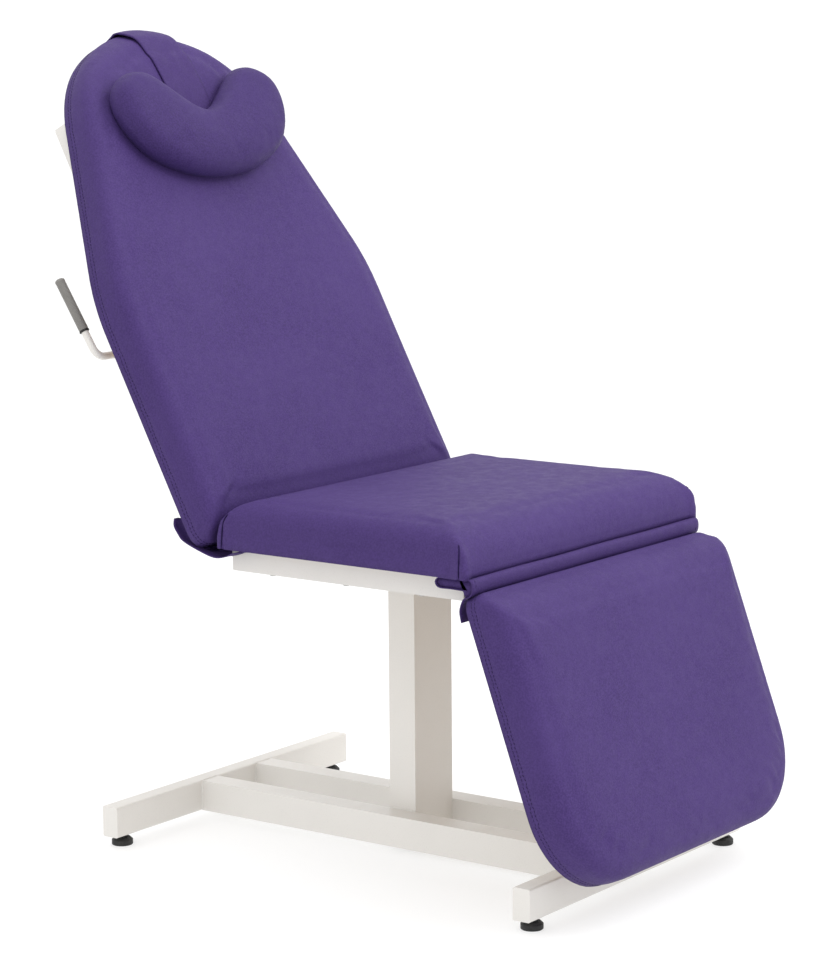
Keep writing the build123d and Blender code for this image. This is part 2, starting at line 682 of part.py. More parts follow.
arm_direction = BACK.y_dir * cos(lean) - BACK.z_dir * sin(lean)
arm_end = BACK.from_local_coords((LEVER_X, arm_end_s, arm_end_t))
grip_plane = Plane(
    origin=arm_end - arm_direction * (GRIP_LENGTH - GRIP_END), x_dir=(1, 0, 0), z_dir=arm_direction
)
with BuildPart() as release_lever_grip:
    with BuildSketch(grip_plane):
        Circle(GRIP_RADIUS)
    extrude(amount=GRIP_LENGTH)
    fillet(release_lever_grip.edges().filter_by(GeomType.CIRCLE), 3)
    with BuildSketch(grip_plane):
        Circle(LEVER_RADIUS)
    extrude(amount=GRIP_LENGTH - GRIP_END, mode=Mode.SUBTRACT)
save(release_lever_grip, "release_lever_grip")

COLLAR_RADIUS = 9.5
COLLAR_LENGTH = 8.0
COLLAR_PLAY = 0.5
with BuildPart() as lever_collars:
    for start in (-BACK_TUBE_OUTER - COLLAR_LENGTH - COLLAR_PLAY, -BACK_TUBE_INNER + COLLAR_PLAY):
        with BuildSketch(facing_across(BACK, start)):
            with Locations((LEVER_S, LEVER_T)):
                Circle(COLLAR_RADIUS)
                Circle(LEVER_RADIUS, mode=Mode.SUBTRACT)
        extrude(amount=COLLAR_LENGTH)
save(lever_collars, "lever_collars")

# ---- legrest ------------------------------------------------------------------------------
LEG_TUBE_X = LEG_TUBE_OUTER - FRAME_TUBE / 2
LEG_TUBE_INNER = LEG_TUBE_OUTER - FRAME_TUBE
LEG_TUBE_T = LEG_PAD_T - LEG_TUBE_DEPTH / 2
LEG_TUBE_TOP = -14.0
KNUCKLE = 8.4
KNUCKLE_PLATE = 6.0
LEG_LUG_PLATE = 6.0
LEG_LUG_INNER = SIDE_TUBE_INNER - LEG_LUG_PLATE
LEG_LUG_REACH = 45.0                 # the lug runs this far back along the side tube
LEG_LUG_STEP = 20.0                  # and passes over the front cross tube from here
HINGE_PLATE_LENGTH = 70.0
PIN_OVERHANG = 12.0                  # each pin passes this far inside its hinge plate
LEG_CROSS_TUBE_V = -330.0

for side, sign in SIDES.items():
    with BuildPart() as legrest_hinge_lug:
        inner_face = SIDE_TUBE_INNER if sign < 0 else LEG_LUG_INNER
        with BuildSketch(across(sign * inner_face, 0, 0)):
            with Locations((LEG_PIVOT_Y, LEG_PIVOT_Z)):
                Circle(KNUCKLE)
            with BuildLine():
                Polyline(
                    (LEG_PIVOT_Y, LEG_PIVOT_Z + KNUCKLE),
                    (LEG_PIVOT_Y + LEG_LUG_REACH, LEG_PIVOT_Z + KNUCKLE),
                    (LEG_PIVOT_Y + LEG_LUG_REACH, FRAME_Z + CROSS_TUBE_DEPTH),
                    (LEG_PIVOT_Y + LEG_LUG_STEP, FRAME_Z + CROSS_TUBE_DEPTH),
                    (LEG_PIVOT_Y + LEG_LUG_STEP, FRAME_Z),
                    (LEG_PIVOT_Y + LEG_LUG_STEP - 4, FRAME_Z),
                    (LEG_PIVOT_Y, LEG_PIVOT_Z - KNUCKLE),
                    close=True,
                )
            make_face()
            with Locations((LEG_PIVOT_Y, LEG_PIVOT_Z)):
                Circle(PIN_RADIUS, mode=Mode.SUBTRACT)
        extrude(amount=LEG_LUG_PLATE)
    save(legrest_hinge_lug, f"legrest_hinge_lug_{side}")

    pin_length = LEG_PIN_END - LEG_TUBE_INNER + PIN_OVERHANG
    pin_start = -LEG_PIN_END if sign < 0 else LEG_PIN_END - pin_length
    pin = bar(across(pin_start, LEG_PIVOT_Y, LEG_PIVOT_Z), PIN_RADIUS, pin_length)
    save(pin, f"legrest_hinge_pin_{side}")

    legrest_tube = tube(
        facing_up(LEG, sign * LEG_TUBE_X, LEG_TUBE_BOTTOM, LEG_TUBE_T),
        FRAME_TUBE,
        LEG_TUBE_DEPTH,
        LEG_TUBE_TOP - LEG_TUBE_BOTTOM,
    )
    save(legrest_tube, f"legrest_tube_{side}")

    with BuildPart() as legrest_hinge_plate:
        inner_face = LEG_TUBE_INNER if sign < 0 else LEG_TUBE_INNER - KNUCKLE_PLATE
        with BuildSketch(facing_across(LEG, sign * inner_face)):
            Circle(KNUCKLE)
            with Locations((-HINGE_PLATE_LENGTH / 2, 0)):
                Rectangle(HINGE_PLATE_LENGTH, 2 * KNUCKLE)
            Circle(PIN_RADIUS + RUN_CLEARANCE, mode=Mode.SUBTRACT)
        extrude(amount=KNUCKLE_PLATE)
    save(legrest_hinge_plate, f"legrest_hinge_plate_{side}")

with BuildPart() as legrest_cross_tube:
    with BuildSketch(facing_across(LEG, -LEG_TUBE_INNER)):
        with Locations((LEG_CROSS_TUBE_V, LEG_TUBE_T)):
            Rectangle(FRAME_TUBE, LEG_TUBE_DEPTH)
            Rectangle(FRAME_TUBE - 2 * WALL, LEG_TUBE_DEPTH - 2 * WALL, mode=Mode.SUBTRACT)
    extrude(amount=2 * LEG_TUBE_INNER)
save(legrest_cross_tube, "legrest_cross_tube")

LEG_TOP_CORNER = 25.0
LEG_BOTTOM_CORNER = 130.0
LEG_SIDE_ROUND = 28.0
LEG_TOP_ROUND = 60.0
LEG_OVERRUN = 100.0          # the rounded blank runs on above the pad's top end


def legrest_slab(inset, thickness, top, top_corner):
    half = LEG_HALF_WIDTH - inset
    bottom = LEG_BOTTOM + inset
    bottom_corner = LEG_BOTTOM_CORNER - inset
    with BuildPart() as piece:
        with BuildSketch(LEG.offset(LEG_PAD_T)):
            with BuildLine():
                FilletPolyline(
                    (half, top),
                    (half, bottom),
                    (-half, bottom),
                    (-half, top),
                    close=True,
                    radius=[top_corner, bottom_corner, bottom_corner, top_corner],
                )
            make_face()
        extrude(amount=thickness)
    return piece


legrest_board = legrest_slab(
    BOARD_INSET, BOARD_THICKNESS, LEG_TOP - BOARD_INSET, LEG_TOP_CORNER - BOARD_INSET
)
save(legrest_board, "legrest_board")

legrest_outline = legrest_slab(0, PAD_THICKNESS, LEG_TOP, LEG_TOP_CORNER)
with BuildPart() as legrest_cushion:
    add(legrest_slab(0, PAD_THICKNESS, LEG_TOP + LEG_OVERRUN, LEG_SIDE_ROUND + 1).part)
    fillet(
        legrest_cushion.faces().sort_by(Axis((0, 0, 0), LEG.z_dir)).last.edges(), LEG_SIDE_ROUND
    )
    add(legrest_outline.part, mode=Mode.INTERSECT)
    with BuildSketch(facing_across(LEG, -LEG_HALF_WIDTH - 1)):
        with Locations((LEG_BOTTOM, LEG_PAD_T)):
            RectangleRounded(2 * (LEG_TOP - LEG_BOTTOM), 2 * PAD_THICKNESS, LEG_TOP_ROUND)
    extrude(amount=2 * LEG_HALF_WIDTH + 2, mode=Mode.INTERSECT)
    add(legrest_board.part, mode=Mode.SUBTRACT)
save(legrest_cushion, "legrest_cushion")

# ---- neck cushion, strap and counterweight ------------------------------------------------
FRONT_T = BACK_PAD_T + PAD_THICKNESS
NECK_BOTTOM = 563.0
NECK_NOTCH = 676.0
NECK_LOBE_TOP = 754.0
NECK_T = FRONT_T + 1.0
NECK_EDGE = 8.0
STRAP_START = NECK_NOTCH + 50.0        # the strap comes out from under the cushion here

with BuildPart() as neck_cushion:
    with BuildSketch(BACK.offset(NECK_T)):
        with BuildLine():
            Spline(
                (0, NECK_BOTTOM),
                (110, NECK_BOTTOM + 20),
                (178, NECK_BOTTOM + 66),
                (NECK_HALF_WIDTH, NECK_BOTTOM + 128),
                (178, NECK_LOBE_TOP - 12),
                (128, NECK_LOBE_TOP),
                (72, NECK_LOBE_TOP - 28),
                (0, NECK_NOTCH),
                tangents=[(1, 0), (-1, 0)],
            )
            mirror(about=Plane.YZ)
        make_face()
    extrude(amount=NECK_THICKNESS)
    fillet(neck_cushion.faces().sort_by(Axis((0, 0, 0), BACK.z_dir)).last.edges(), NECK_EDGE)
save(neck_cushion, "neck_cushion")

STRAP_GAP = 0.4
STRAP_MIDDLE = STRAP_GAP + STRAP_THICKNESS / 2      # from the pad's surface to mid-strap
STRAP_REAR_BEND = 2.0
strap_front_t = FRONT_T + STRAP_MIDDLE
strap_back_t = BACK_PAD_T - STRAP_MIDDLE
strap_top_s = BACK_TOP + STRAP_MIDDLE
WEIGHT_TOP = 735.0
WEIGHT_BOTTOM = 690.0
WEIGHT_THICKNESS = 14.0
with BuildPart() as neck_strap:
    with BuildSketch(facing_across(BACK, -STRAP_WIDTH / 2)):
        with BuildLine():
            FilletPolyline(
                (STRAP_START, strap_front_t),
                (strap_top_s, strap_front_t),
                (strap_top_s, strap_back_t),
                (WEIGHT_TOP + 1, strap_back_t),
                radius=[BACK_FRONT_EDGE + STRAP_MIDDLE, STRAP_REAR_BEND],
            )
        trace(line_width=STRAP_THICKNESS)
    extrude(amount=STRAP_WIDTH)
save(neck_strap, "neck_strap")

with BuildPart() as neck_counterweight:
    with BuildSketch(BACK.offset(BACK_PAD_T - 1)):
        with Locations((0, (WEIGHT_TOP + WEIGHT_BOTTOM) / 2)):
            RectangleRounded(STRAP_WIDTH + 8, WEIGHT_TOP - WEIGHT_BOTTOM, 6)
    extrude(amount=-WEIGHT_THICKNESS)
save(neck_counterweight, "neck_counterweight")

# ---- bridge fabrics between the cushions --------------------------------------------------
FABRIC_THICKNESS = 2.0
FABRIC_HALF_WIDTH = 314.0
SLOT_MARGIN = 3.0
SLOT_REACH = 300.0


def in_back(s, t):
    point = BACK.from_local_coords((0, s, t))
    return (point.Y - COLUMN_Y, point.Z)


def bridge_fabric(path, bends, slots):
    """Fabric band along a path of (y, z) points, cut away where the hinges pass."""
    middle_y = (path[0][0] + path[-1][0]) / 2
    with BuildPart() as piece:
        with BuildSketch(across(-FABRIC_HALF_WIDTH, 0, 0)):
            with BuildLine():
                FilletPolyline(*path, radius=bends)
            trace(line_width=FABRIC_THICKNESS)
        extrude(amount=2 * FABRIC_HALF_WIDTH)
        for low, high in slots:
            for sign in SIDES.values():
                middle_x = sign * (low + high) / 2
                with BuildSketch(level(middle_x, middle_y, SEAT_UNDERSIDE)):
                    Rectangle(high - low, SLOT_REACH)
                extrude(amount=SLOT_REACH / 2, both=True, mode=Mode.SUBTRACT)
    return piece


rear_path = [
    in_back(30, 11.3),
    in_back(-9.5, 11.3),
    (176, SEAT_UNDERSIDE - 13),
    (153, SEAT_UNDERSIDE - 15),
    (130, SEAT_UNDERSIDE - 11),
    (112, SEAT_UNDERSIDE - 1.4),
    (90, SEAT_UNDERSIDE - 1.4),
]
save(
    bridge_fabric(
        rear_path,
        6,
        [
            (LUG_X - LUG_THICKNESS / 2 - SLOT_MARGIN, LUG_X + LUG_THICKNESS / 2 + SLOT_MARGIN),
            (BACK_TUBE_INNER - SLOT_MARGIN, SIDE_TUBE_OUTER + SLOT_MARGIN),
        ],
    ),
    "bridge_fabric_rear",
)

front_path = [
    (-262, SEAT_UNDERSIDE - 1.4),
    (-255, SEAT_UNDERSIDE - 8),
    (-262, SEAT_UNDERSIDE - 17),
    (-282, SEAT_UNDERSIDE - 17),
    (-300, SEAT_UNDERSIDE - 6),
    (-318, SEAT_UNDERSIDE - 3),
    (-327, SEAT_UNDERSIDE - 9),
    (-309, SEAT_UNDERSIDE - 19),
    (-301, SEAT_UNDERSIDE - 28),
    (-299, SEAT_UNDERSIDE - 60),
]
save(
    bridge_fabric(
        front_path,
        4,
        [(LEG_TUBE_INNER - 15, LEG_PIN_END + SLOT_MARGIN)],
    ),
    "bridge_fabric_front",
)
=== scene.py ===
import json
import math

import bmesh
import bpy
import numpy as np
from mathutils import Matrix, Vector
from mathutils.bvhtree import BVHTree


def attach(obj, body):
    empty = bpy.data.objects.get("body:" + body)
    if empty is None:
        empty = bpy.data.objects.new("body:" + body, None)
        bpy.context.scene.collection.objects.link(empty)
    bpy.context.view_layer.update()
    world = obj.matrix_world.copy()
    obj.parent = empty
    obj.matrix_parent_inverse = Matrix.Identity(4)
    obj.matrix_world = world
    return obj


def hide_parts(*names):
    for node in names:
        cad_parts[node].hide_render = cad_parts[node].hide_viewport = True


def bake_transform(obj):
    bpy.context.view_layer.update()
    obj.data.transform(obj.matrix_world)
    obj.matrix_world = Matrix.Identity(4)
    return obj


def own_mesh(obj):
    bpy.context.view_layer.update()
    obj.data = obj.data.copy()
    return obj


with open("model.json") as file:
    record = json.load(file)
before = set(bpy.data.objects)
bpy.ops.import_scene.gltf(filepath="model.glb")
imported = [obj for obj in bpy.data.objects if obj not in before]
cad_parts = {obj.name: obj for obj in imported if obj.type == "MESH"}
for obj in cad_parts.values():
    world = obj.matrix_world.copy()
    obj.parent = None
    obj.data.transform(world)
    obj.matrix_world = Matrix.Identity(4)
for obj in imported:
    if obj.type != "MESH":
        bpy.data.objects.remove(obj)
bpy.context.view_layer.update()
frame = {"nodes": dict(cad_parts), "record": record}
scene = bpy.context.scene

# Metres. +Z is up, the sitter faces -Y and the sitter's right hand is towards -X.
COLUMN_Y = -0.042
MM = 0.001

# ---- the three tilted or level frames the pads are built in ---------------------------------


class Section:
    """x runs across the chair, s along the section and t out of the pad's front face."""

    def __init__(self, y, z, degrees):
        tilt = math.radians(degrees)
        self.origin = np.array((0, COLUMN_Y + y * MM, z * MM))
        self.along = np.array((0, math.cos(tilt), math.sin(tilt)))
        self.out = np.array((0, -math.sin(tilt), math.cos(tilt)))

    def at(self, x, s, t):
        """World points, from millimetres in this section."""
        x, s, t = np.broadcast_arrays(*(np.asarray(v, float) * MM for v in (x, s, t)))
        across = np.array((1.0, 0, 0))
        return self.origin + x[..., None] * across + s[..., None] * self.along + t[..., None] * self.out

    def local(self, points):
        """The millimetres in this section of world points."""
        d = np.asarray(points) - self.origin
        return np.stack((d[..., 0], d @ self.along, d @ self.out), -1) / MM


BACK = Section(206, 505, 62)
LEG = Section(-293, 504, 70)
SEAT = Section(0, 513, 0)

# ---- materials --------------------------------------------------------------------------------


def linear(r, g, b):
    """An sRGB colour, 0 to 255, as the linear values a shader takes."""
    return tuple(
        (v / 255 / 12.92) if v <= 10.3 else ((v / 255 + 0.055) / 1.055) ** 2.4 for v in (r, g, b)
    ) + (1.0,)


class Material:
    def __init__(self, name, roughness, metallic=0.0, **sockets):
        self.material = bpy.data.materials.new(name)
        self.material.use_nodes = True
        self.nodes = self.material.node_tree.nodes
        self.links = self.material.node_tree.links
        self.shader = self.nodes["Principled BSDF"]
        self.shader.inputs["Roughness"].default_value = roughness
        self.shader.inputs["Metallic"].default_value = metallic
        for socket, value in sockets.items():
            self.shader.inputs[socket.replace("_", " ")].default_value = value
        self.place = self.nodes.new("ShaderNodeTexCoord").outputs["Object"]

    def noise(self, scale, detail=3.0, stretch=None):
        """Noise of a number of cells to the metre, drawn out along an axis by stretch."""
        node = self.nodes.new("ShaderNodeTexNoise")
        node.inputs["Scale"].default_value = scale
        node.inputs["Detail"].default_value = detail
        place = self.place
        if stretch:
            mapping = self.nodes.new("ShaderNodeMapping")
            mapping.inputs["Scale"].default_value = stretch
            self.links.new(place, mapping.inputs["Vector"])
            place = mapping.outputs["Vector"]
        self.links.new(place, node.inputs["Vector"])
        return node.outputs["Fac"]

    def cells(self, scale):
        node = self.nodes.new("ShaderNodeTexVoronoi")
        node.inputs["Scale"].default_value = scale
        self.links.new(self.place, node.inputs["Vector"])
        return node.outputs["Distance"]

    def ramp(self, source, low, high, first=0.0, last=1.0):
        node = self.nodes.new("ShaderNodeMapRange")
        for socket, value in zip(("From Min", "From Max", "To Min", "To Max"), (low, high, first, last)):
            node.inputs[socket].default_value = value
        self.links.new(source, node.inputs["Value"])
        return node.outputs["Result"]

    def times(self, a, b):
        node = self.nodes.new("ShaderNodeMath")
        node.operation = "MULTIPLY"
        for socket, value in zip(node.inputs, (a, b)):
            if isinstance(value, (int, float)):
                socket.default_value = value
            else:
                self.links.new(value, socket)
        return node.outputs["Value"]

    def mix(self, a, b, factor):
        """Colours a and b, or sockets, mixed by a socket."""
        node = self.nodes.new("ShaderNodeMix")
        node.data_type = "RGBA"
        for socket, value in ((node.inputs[6], a), (node.inputs[7], b), (node.inputs[0], factor)):
            if hasattr(value, "links"):
                self.links.new(value, socket)
            else:
                socket.default_value = value
        return node.outputs[2]

    def colour(self, source):
        if hasattr(source, "links"):
            self.links.new(source, self.shader.inputs["Base Color"])
        else:
            self.shader.inputs["Base Color"].default_value = source
        return self

    def rough(self, source):
        self.links.new(source, self.shader.inputs["Roughness"])
        return self

    def bump(self, *layers):
        """Layers of (height socket, depth in metres), one on another."""
        normal = None
        for height, depth in layers:
            node = self.nodes.new("ShaderNodeBump")
            node.inputs["Distance"].default_value = depth
            self.links.new(height, node.inputs["Height"])
            if normal:
                self.links.new(normal, node.inputs["Normal"])
            normal = node.outputs["Normal"]
        self.links.new(normal, self.shader.inputs["Normal"])
        return self


def vinyl(name, pale, deep, sheen=0.01):
    """Upholstery vinyl: soft mottling, a fine suede-like grain and a dull surface."""
    m = Material(name, 0.64, Sheen_Weight=sheen, Sheen_Roughness=0.5, Specular_IOR_Level=0.14)
    mottle = m.ramp(m.noise(7, 4), 0.35, 0.65)
    patch = m.ramp(m.noise(85, 3), 0.35, 0.65)
    fine = m.ramp(m.noise(380, 3), 0.36, 0.64)
    light = tuple(min(1, v * 1.3) for v in pale[:3]) + (1.0,)
    dark = tuple(v * 0.8 for v in deep[:3]) + (1.0,)
    base = m.mix(m.mix(deep, pale, mottle), dark, m.times(patch, 0.16))
    m.colour(m.mix(base, light, m.times(fine, 0.7)))
    m.rough(m.ramp(m.noise(60, 3), 0.3, 0.7, 0.54, 0.68))
    return m.bump((m.noise(14, 3), 0.0010), (m.cells(900), 0.00024), (m.noise(2600, 2), 0.00008))


def powder_coat(name, colour):
    """Baked powder paint: slight orange peel and a little dust."""
    m = Material(name, 0.38, Specular_IOR_Level=0.5, Coat_Weight=0.12, Coat_Roughness=0.25)
    dust = m.ramp(m.noise(7, 5), 0.45, 0.75, 0.0, 0.4)
    dull = tuple(v * 0.9 for v in colour[:3]) + (1.0,)
    speck = m.ramp(m.noise(520, 2), 0.60, 0.72, 0.0, 0.10)
    m.colour(m.mix(m.mix(colour, dull, dust), linear(150, 146, 140), speck))
    m.rough(m.ramp(m.noise(30, 4), 0.3, 0.7, 0.32, 0.46))
    return m.bump((m.noise(650, 2), 0.00006), (m.noise(160, 2), 0.00009))


VINYL = vinyl("vinyl", linear(67, 50, 103), linear(61, 44, 96)).material
NECK_VINYL = vinyl("neck_vinyl", linear(61, 45, 96), linear(56, 40, 89)).material
CLOTH = vinyl("cover_cloth", linear(65, 48, 100), linear(59, 42, 93)).material
WHITE = powder_coat("white_powder_coat", linear(225, 222, 217)).material

m = Material("thread", 0.75, Specular_IOR_Level=0.2)
THREAD = m.colour(m.mix(linear(34, 24, 60), linear(47, 34, 76), m.noise(700, 2))).bump(
    (m.noise(3000, 2, (1, 1, 1)), 0.0001)
).material

# Seam creases: a darker copy of the vinyl's colour, painted shade for the dark line down the seat's corner
# seams.
m = Material("seam_crease_painted_shade", 0.85, Specular_IOR_Level=0.1)
SEAM_CREASE_SHADE = m.colour(m.mix(linear(30, 20, 56), linear(39, 27, 70), m.noise(700, 2))).bump(
    (m.noise(2500, 2), 0.0001)
).material

m = Material("zinc_plate", 0.3, 1.0)
ZINC = m.colour(m.mix(linear(196, 196, 194), linear(160, 160, 158), m.noise(120, 4))).rough(
    m.ramp(m.noise(400, 3), 0.3, 0.7, 0.24, 0.40)
).bump((m.noise(900, 2, (8, 1, 1)), 0.00003)).material

m = Material("black_moulding", 0.55)
BLACK = m.colour(
    m.mix(linear(20, 20, 21), linear(38, 37, 36), m.ramp(m.noise(80, 3), 0.45, 0.7))
).rough(m.ramp(m.noise(200, 3), 0.3, 0.7, 0.48, 0.66)).bump((m.noise(1400, 2), 0.00008)).material

m = Material("black_paint", 0.32, Coat_Weight=0.3, Coat_Roughness=0.2)
BLACK_PAINT = m.colour(m.mix(linear(16, 16, 18), linear(34, 34, 36), m.noise(40, 4))).rough(
    m.ramp(m.noise(90, 3), 0.3, 0.7, 0.26, 0.42)
).bump((m.noise(500, 2), 0.00004)).material

m = Material("grip_rubber", 0.62)
GRIP = m.colour(m.mix(linear(138, 135, 131), linear(120, 118, 115), m.noise(60, 4))).rough(
    m.ramp(m.noise(300, 3), 0.3, 0.7, 0.55, 0.72)
).bump((m.noise(1800, 2), 0.00008)).material

m = Material("nylon", 0.45)
NYLON = m.colour(m.mix(linear(206, 202, 192), linear(188, 184, 172), m.noise(50, 3))).bump(
    (m.noise(900, 2), 0.00004)
).rough(m.ramp(m.noise(200, 2), 0.3, 0.7, 0.4, 0.55)).material

m = Material("plywood", 0.6)
grain = m.noise(60, 5, (1, 0.06, 0.06))
PLYWOOD = m.colour(
    m.mix(m.mix(linear(205, 178, 140), linear(170, 138, 98), grain), linear(120, 90, 60), m.times(
        m.ramp(m.noise(260, 4, (1, 0.05, 0.05)), 0.55, 0.75), 0.5))
).rough(m.ramp(grain, 0.3, 0.7, 0.5, 0.72)).bump((grain, 0.0003)).material

m = Material("floor", 0.75, Emission_Color=(1, 1, 1, 1), Emission_Strength=0.62)
FLOOR = m.colour(linear(168, 168, 168)).material

CAD_MATERIALS = {
    "white_paint": WHITE,
    "black_paint": BLACK_PAINT,
    "bright_steel": ZINC,
    "nylon": NYLON,
    "black_plastic": BLACK,
    "grip_rubber": GRIP,
    "board_wood": PLYWOOD,
    "upholstery": VINYL,
    "neck_upholstery": NECK_VINYL,
    "cover_fabric": CLOTH,
}
for part in frame["record"]["subparts"]:
    node = frame["nodes"][part["node"]]
    node.data.materials.clear()
    node.data.materials.append(CAD_MATERIALS[part["material_slot"]])
    if part["material_slot"] in ("white_paint", "bright_steel", "black_paint", "black_plastic"):
        bevel = node.modifiers.new("soft_edges", "BEVEL")
        bevel.width = 0.0009
        bevel.segments = 2
        bevel.limit_method = "ANGLE"
        bevel.angle_limit = math.radians(40)
        bevel.harden_normals = False

# ---- mesh helpers ------------------------------------------------------------------------------


def new_object(name, vertices, faces, material, smooth=True):
    mesh = bpy.data.meshes.new(name)
    mesh.from_pydata([tuple(v) for v in vertices], [], [tuple(f) for f in faces])
    mesh.validate()
    mesh.update()
    mesh.polygons.foreach_set("use_smooth", [smooth] * len(mesh.polygons))
    o = bpy.data.objects.new(name, mesh)
    scene.collection.objects.link(o)
    mesh.materials.append(material)
    return o


def points_of(o):
    co = np.empty(len(o.data.vertices) * 3)
    o.data.vertices.foreach_get("co", co)
    return co.reshape(-1, 3)


def set_points(o, points):
    o.data.vertices.foreach_set("co", np.asarray(points, float).ravel())
    o.data.update()


def baked(o):
    """Applies every modifier on o."""
    graph = bpy.context.evaluated_depsgraph_get()
    graph.update()
    mesh = bpy.data.meshes.new_from_object(o.evaluated_get(graph))
    o.modifiers.clear()
    o.data = mesh
    mesh.polygons.foreach_set("use_smooth", [True] * len(mesh.polygons))
    return o


def rounded(corners, radii, step=6.0, closed=True):
    """A polygon, or an open line, of 2-D points with its corners rounded, sampled every step."""
    line = []
    count = len(corners)
    for i, (corner, radius) in enumerate(zip(corners, radii)):
        corner = np.array(corner, float)
        if radius <= 0 or (not closed and i in (0, count - 1)):
            line.append(corner)
            continue
        a = np.array(corners[i - 1], float) - corner
        b = np.array(corners[(i + 1) % count], float) - corner
        a /= np.linalg.norm(a)
        b /= np.linalg.norm(b)
        half = math.acos(max(-1, min(1, a @ b))) / 2
        reach = radius / math.tan(half)
        centre = corner + (a + b) / np.linalg.norm(a + b) * radius / math.sin(half)
        start, end = corner + a * reach - centre, corner + b * reach - centre
        turn = math.pi - 2 * half
        steps = max(2, int(radius * turn / step))
        for k in range(steps + 1):
            f = k / steps
            swung = start * math.sin((1 - f) * turn) + end * math.sin(f * turn)
            line.append(centre + swung / math.sin(turn))
    if closed:
        line.append(line[0])
    return spaced(np.array(line), step, closed)


def spaced(line, step, closed=False):
    """The same line at equal steps. A closed line ends one step short of its start."""
    line = np.asarray(line, float)
    lengths = np.concatenate(([0], np.cumsum(np.linalg.norm(np.diff(line, axis=0), axis=1))))
    count = max(2, int(round(lengths[-1] / step)))
    wanted = np.linspace(0, lengths[-1], count + 1)
    if closed:
        wanted = wanted[:-1]
    return np.stack([np.interp(wanted, lengths, line[:, k]) for k in range(line.shape[1])], 1)


def curve_through(points, step=4.0):
    """A smooth line through points, at equal steps."""
    p = np.asarray(points, float)
    p = np.vstack((2 * p[0] - p[1], p, 2 * p[-1] - p[-2]))
    line = []
    for i in range(1, len(p) - 2):
        for f in np.linspace(0, 1, 16, endpoint=False):
            line.append(0.5 * (2 * p[i] + (p[i + 1] - p[i - 1]) * f
                               + (2 * p[i - 1] - 5 * p[i] + 4 * p[i + 1] - p[i + 2]) * f ** 2
                               + (3 * p[i] - p[i - 1] - 3 * p[i + 1] + p[i + 2]) * f ** 3))
    line.append(p[-2])
    return spaced(np.array(line), step)


def edge_distance(points, outline):
    """How far each 2-D point is from a closed outline, and its nearest point of the outline."""
    a = outline
    b = np.roll(outline, -1, axis=0)
    best = np.empty(len(points))
    spots = np.empty((len(points), 2))
    for start in range(0, len(points), 4000):
        p = points[start:start + 4000, None, :]
        d = b - a
        f = np.clip(((p - a) * d).sum(-1) / (d * d).sum(-1), 0, 1)
        near = a + f[..., None] * d
        away = ((p - near) ** 2).sum(-1)
        pick = away.argmin(1)
        rows = np.arange(len(pick))
        best[start:start + 4000] = np.sqrt(away[rows, pick])
        spots[start:start + 4000] = near[rows, pick]
    return best, spots


def smooth_step(v, low, high):
    f = np.clip((np.asarray(v, float) - low) / (high - low), 0, 1)
    return f * f * (3 - 2 * f)


# ---- padded pieces -------------------------------------------------------------------------------


def block(outline, low, high, section, name, material, edge=0.0):
    """A closed solid over an outline, from t = low to t = high, with a rounded front edge."""
    rings = [(0.0, low), (0.0, high - edge)]
    if edge:
        for k in range(1, 7):
            a = math.pi / 2 * k / 6
            rings.append((edge * (1 - math.cos(a)), high - edge + edge * math.sin(a)))
    count = len(outline)
    centre = outline.mean(0)
    tangent = np.roll(outline, -1, 0) - np.roll(outline, 1, 0)
    normal = np.stack((-tangent[:, 1], tangent[:, 0]), 1)
    normal /= np.linalg.norm(normal, axis=1)[:, None]
    inward = normal * np.sign(((centre - outline) * normal).sum(1).mean())
    vertices = []
    faces = []
    for inset, t in rings:
        ring = outline + inward * inset
        vertices += list(section.at(ring[:, 0], ring[:, 1], t))
    for k in range(len(rings) - 1):
        for i in range(count):
            j = (i + 1) % count
            faces.append((k * count + i, k * count + j, (k + 1) * count + j, (k + 1) * count + i))
    faces.append(list(range(count))[::-1])
    faces.append([(len(rings) - 1) * count + i for i in range(count)])
    o = new_object(name, vertices, faces, material)
    bm = bmesh.new()
    bm.from_mesh(o.data)
    bmesh.ops.recalc_face_normals(bm, faces=bm.faces)
    bm.to_mesh(o.data)
    bm.free()
    return o


def remesh(o, voxel):
    """Rebuilds the skin of o from voxels of this size."""
    m = o.modifiers.new("remesh", "REMESH")
    m.mode = "VOXEL"
    m.voxel_size = voxel
    m.use_smooth_shade = True
    return baked(o)


def relax(o, times=2, factor=0.5):
    """Smooths the surface of o."""
    m = o.modifiers.new("relax", "SMOOTH")
    m.factor = factor
    m.iterations = times
    return baked(o)


